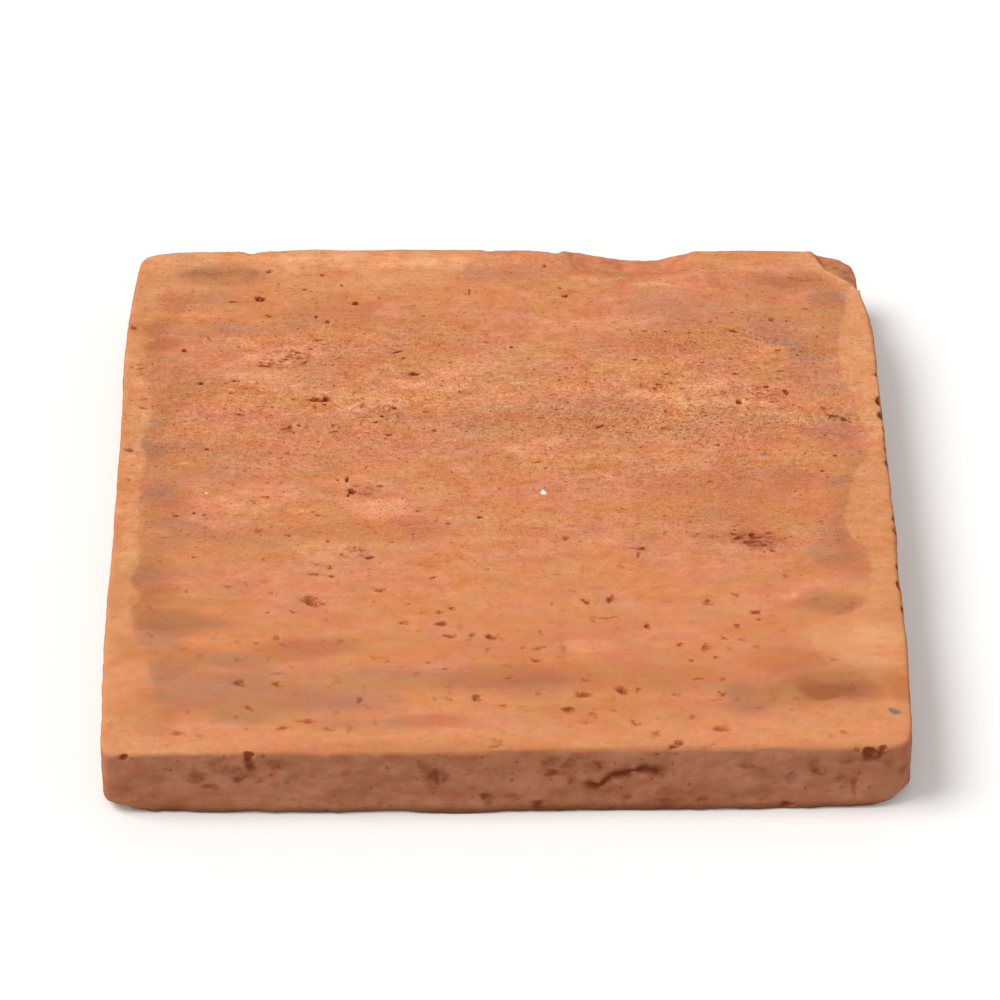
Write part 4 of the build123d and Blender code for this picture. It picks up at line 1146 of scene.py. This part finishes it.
# redder, darker and lighter in forms of all sizes, the fine ones stronger where the face is sandy
redder = two_tone(forms(12, 6, 2.0, 0.5), 0.40, 0.60, colour(0.99, 1.03, 1.04), colour(1.01, 0.96, 0.94))
base = dyed(base, field, redder)
base = mottled(base, broad, 0.16)
base = mottled(base, band, slope(busy, 0.15, 0.07))
base = mottled(base, streak, times(busy, 0.14))
base = mottled(base, blotch, slope(busy, 0.13, times(field, 0.13)))
base = mottled(base, coarse, times(busy, slope(sandy, 0.30, 0.20)))
base = mottled(base, sand, times(busy, slope(sandy, 0.55, 0.20)))

# red-brown spots, short dark scores and uneven grit, more of it where the face is sandy
gritty = clay.step(busy, 0.45, 0.9)
calm = times(times(field, minus(1.0, gritty)), slope(margin, -0.8, 1.0))
limit = slope(sandy, -0.05, 0.70)


def grit(along, across, roughness, start, end):
    """Small spots that lie close where the face is sandy and busy."""
    return times(gritty, clay.step(minus(forms(along, across, 2.0, roughness), limit), start, end))


soft_spots = times(calm, clay.step(forms(3.1, 3.2, 1.0, 0.4), 0.62, 0.86))
spots = times(busy, clay.step(forms(2.1, 1.25, 2.0, 0.6), 0.635, 0.72))
scores = grit(2.0, 0.62, 0.6, -0.02, 0.06)
crumbs = grit(0.95, 0.72, 0.6, 0.0, 0.05)
flecks = grit(0.9, 0.6, 0.55, 0.0, 0.05)
base = dyed(base, soft_spots, colour(0.80, 0.62, 0.50))
base = dyed(base, spots, colour(0.80, 0.60, 0.50))
base = dyed(base, scores, colour(0.70, 0.52, 0.42))
base = over(base, times(flecks, busy), 0.42, colour(0.90, 0.54, 0.34))
base = dyed(base, times(crumbs, times(busy, busy)), colour(0.40, 0.25, 0.20))

# crumbled skin: duller, darker in its hollows and lighter on its lumps; the dark is partly the crumbled
# clay's own colour and partly painted shade, the light is painted highlight
crumbly = clay.step(slope(worn, 0.45, clay.value("crumbly")), 0.75, 1.45)
lumps = forms(1.9, 1.15, 3.0, 0.62)
base = dyed(base, times(crumbly, 0.5), colour(0.92, 0.86, 0.82))
base = dyed(base, times(crumbly, clay.step(lumps, 0.50, 0.40)), colour(0.60, 0.43, 0.35))
base = dyed(base, times(times(crumbly, clay.step(lumps, 0.54, 0.62)), 0.8), colour(1.14, 1.22, 1.26))

# fresh breaks, marks and grains
spalled_tone = two_tone(blotch, 0.40, 0.60, colour(0.62, 0.195, 0.090), colour(0.76, 0.270, 0.125))
fresh_tone = two_tone(blotch, 0.40, 0.60, colour(0.42, 0.150, 0.075), colour(0.66, 0.235, 0.118))
base = over(base, clay.value("spalled"), 0.75, spalled_tone)
base = over(base, clay.value("fresh"), 0.80, fresh_tone)
# the dark of marks and the crack is partly the clay's own colour and partly painted shade in their hollows;
# that of the bites and the step's foot is painted shade
mark_value = clay.value("mark")
mark_noise = times(slope(plus(coarse, sand), 2.1, -2.1), clay.step(busy, 0.15, 0.8, 0.25, 1.0))
mark_value = slope(mark_noise, clay.step(mark_value, 0.0, 0.4), mark_value)
base = dyed(base, clay.step(mark_value, 0.05, 0.50), colour(0.70, 0.48, 0.38))
base = over(base, clay.step(mark_value, 0.35, 1.15), 0.90, colour(0.175, 0.046, 0.014))
grain_tone = clay.add("Attribute", output="Color", attribute_name="grain")
base = clay.mix(clay.add("Attribute", output="Alpha", attribute_name="grain"), base, grain_tone)

# relief too fine for the mesh
relief = slope(blotch, 0.55, times(streak, 0.30))
relief = slope(times(coarse, busy), slope(sandy, 0.45, 0.25), relief)
relief = slope(times(sand, busy), slope(sandy, 0.22, 0.10), relief)
relief = slope(times(lumps, crumbly), 1.5, relief)
for pit, deep in ((spots, -0.12), (scores, -0.18), (crumbs, -0.45), (flecks, 0.25)):
    relief = slope(pit, deep, relief)
clay.add("OutputMaterial", {"Surface": clay.add("BsdfPrincipled", {
    "Base Color": base,
    "Roughness": clay.step(coarse, 0.3, 0.7, 0.85, 0.97),
    "Normal": clay.add("Bump", {"Height": relief, "Strength": 0.8, "Distance": 0.6 * MM}, "Normal"),
    "Specular IOR Level": 0.15,
})})
mesh.materials.append(clay_material)

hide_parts("tile")
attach(tile, "root")

# The floor, 3 m to each side: white where the camera sees it, and a matt grey for the light it throws back
FLOOR = 3
floor_mesh = bpy.data.meshes.new("floor")
floor_corners = [(-FLOOR, -FLOOR, 0), (FLOOR, -FLOOR, 0), (FLOOR, FLOOR, 0), (-FLOOR, FLOOR, 0)]
floor_mesh.from_pydata(floor_corners, [], [(0, 1, 2, 3)])
floor = bpy.data.objects.new("floor", floor_mesh)
bpy.context.scene.collection.objects.link(floor)
paper_material = bpy.data.materials.new("white_floor")
paper = Nodes(paper_material)
matt = paper.add("BsdfDiffuse", {"Color": colour(0.62, 0.61, 0.60)})
bright = paper.add("AddShader", {
    0: paper.add("BsdfDiffuse", {"Color": colour(0.93, 0.915, 0.905)}),
    1: paper.add("Emission", {"Color": colour(1, 1, 1), "Strength": 0.14}),
})
seen = paper.add("LightPath", output="Is Camera Ray")
paper.add("OutputMaterial", {"Surface": paper.add("MixShader", {0: seen, 1: matt, 2: bright})})
floor_mesh.materials.append(paper_material)

# The sky: a soft warm light, and plain behind the floor
world = bpy.data.worlds.new("studio")
bpy.context.scene.world = world
sky = Nodes(world)
soft = sky.add("Background", {"Color": colour(1, 0.985, 0.97), "Strength": 0.45})
plain = sky.add("Background", {"Strength": 1.0})
seen = sky.add("LightPath", output="Is Camera Ray")
sky.add("OutputWorld", {"Surface": sky.add("MixShader", {0: seen, 1: soft, 2: plain})})

# The key lamp stands to the left of the tile
KEY_HEIGHT, KEY_SPREAD, KEY_ENERGY = math.radians(54), math.radians(34), 2.15
lamp = bpy.data.lights.new("key", "SUN")
lamp.energy = KEY_ENERGY
lamp.angle = KEY_SPREAD
lamp.color = (1, 0.985, 0.965)
key = bpy.data.objects.new("key", lamp)
key_from = Vector((-math.cos(KEY_HEIGHT), 0, math.sin(KEY_HEIGHT)))
key.rotation_euler = key_from.to_track_quat("Z", "Y").to_euler()
bpy.context.scene.collection.objects.link(key)

# The camera, fitted to the tile's outline in the photo
TARGET, DISTANCE = Vector((-0.601, 18.043, 0)) * MM, 1403.45 * MM
YAW, ELEVATION, ROLL = math.radians(-0.748), math.radians(40.358), math.radians(0.195)
SENSOR_WIDTH, FOCAL_LENGTH = 36, 192.11
level = math.cos(ELEVATION)
back = Vector((math.sin(YAW) * level, -math.cos(YAW) * level, math.sin(ELEVATION)))
right = Vector((math.cos(YAW), math.sin(YAW), 0))
up = back.cross(right)
right, up = right * math.cos(ROLL) + up * math.sin(ROLL), up * math.cos(ROLL) - right * math.sin(ROLL)
lens = bpy.data.cameras.new("camera")
lens.sensor_width = SENSOR_WIDTH
lens.lens = FOCAL_LENGTH
camera = bpy.data.objects.new("camera", lens)
camera.matrix_world = Matrix((
    *((right[axis], up[axis], back[axis], TARGET[axis] + back[axis] * DISTANCE) for axis in range(3)),
    (0, 0, 0, 1),
))
bpy.context.scene.collection.objects.link(camera)
bpy.context.scene.camera = camera
bpy.context.scene.view_settings.view_transform = "Standard"

bpy.context.view_layer.update()
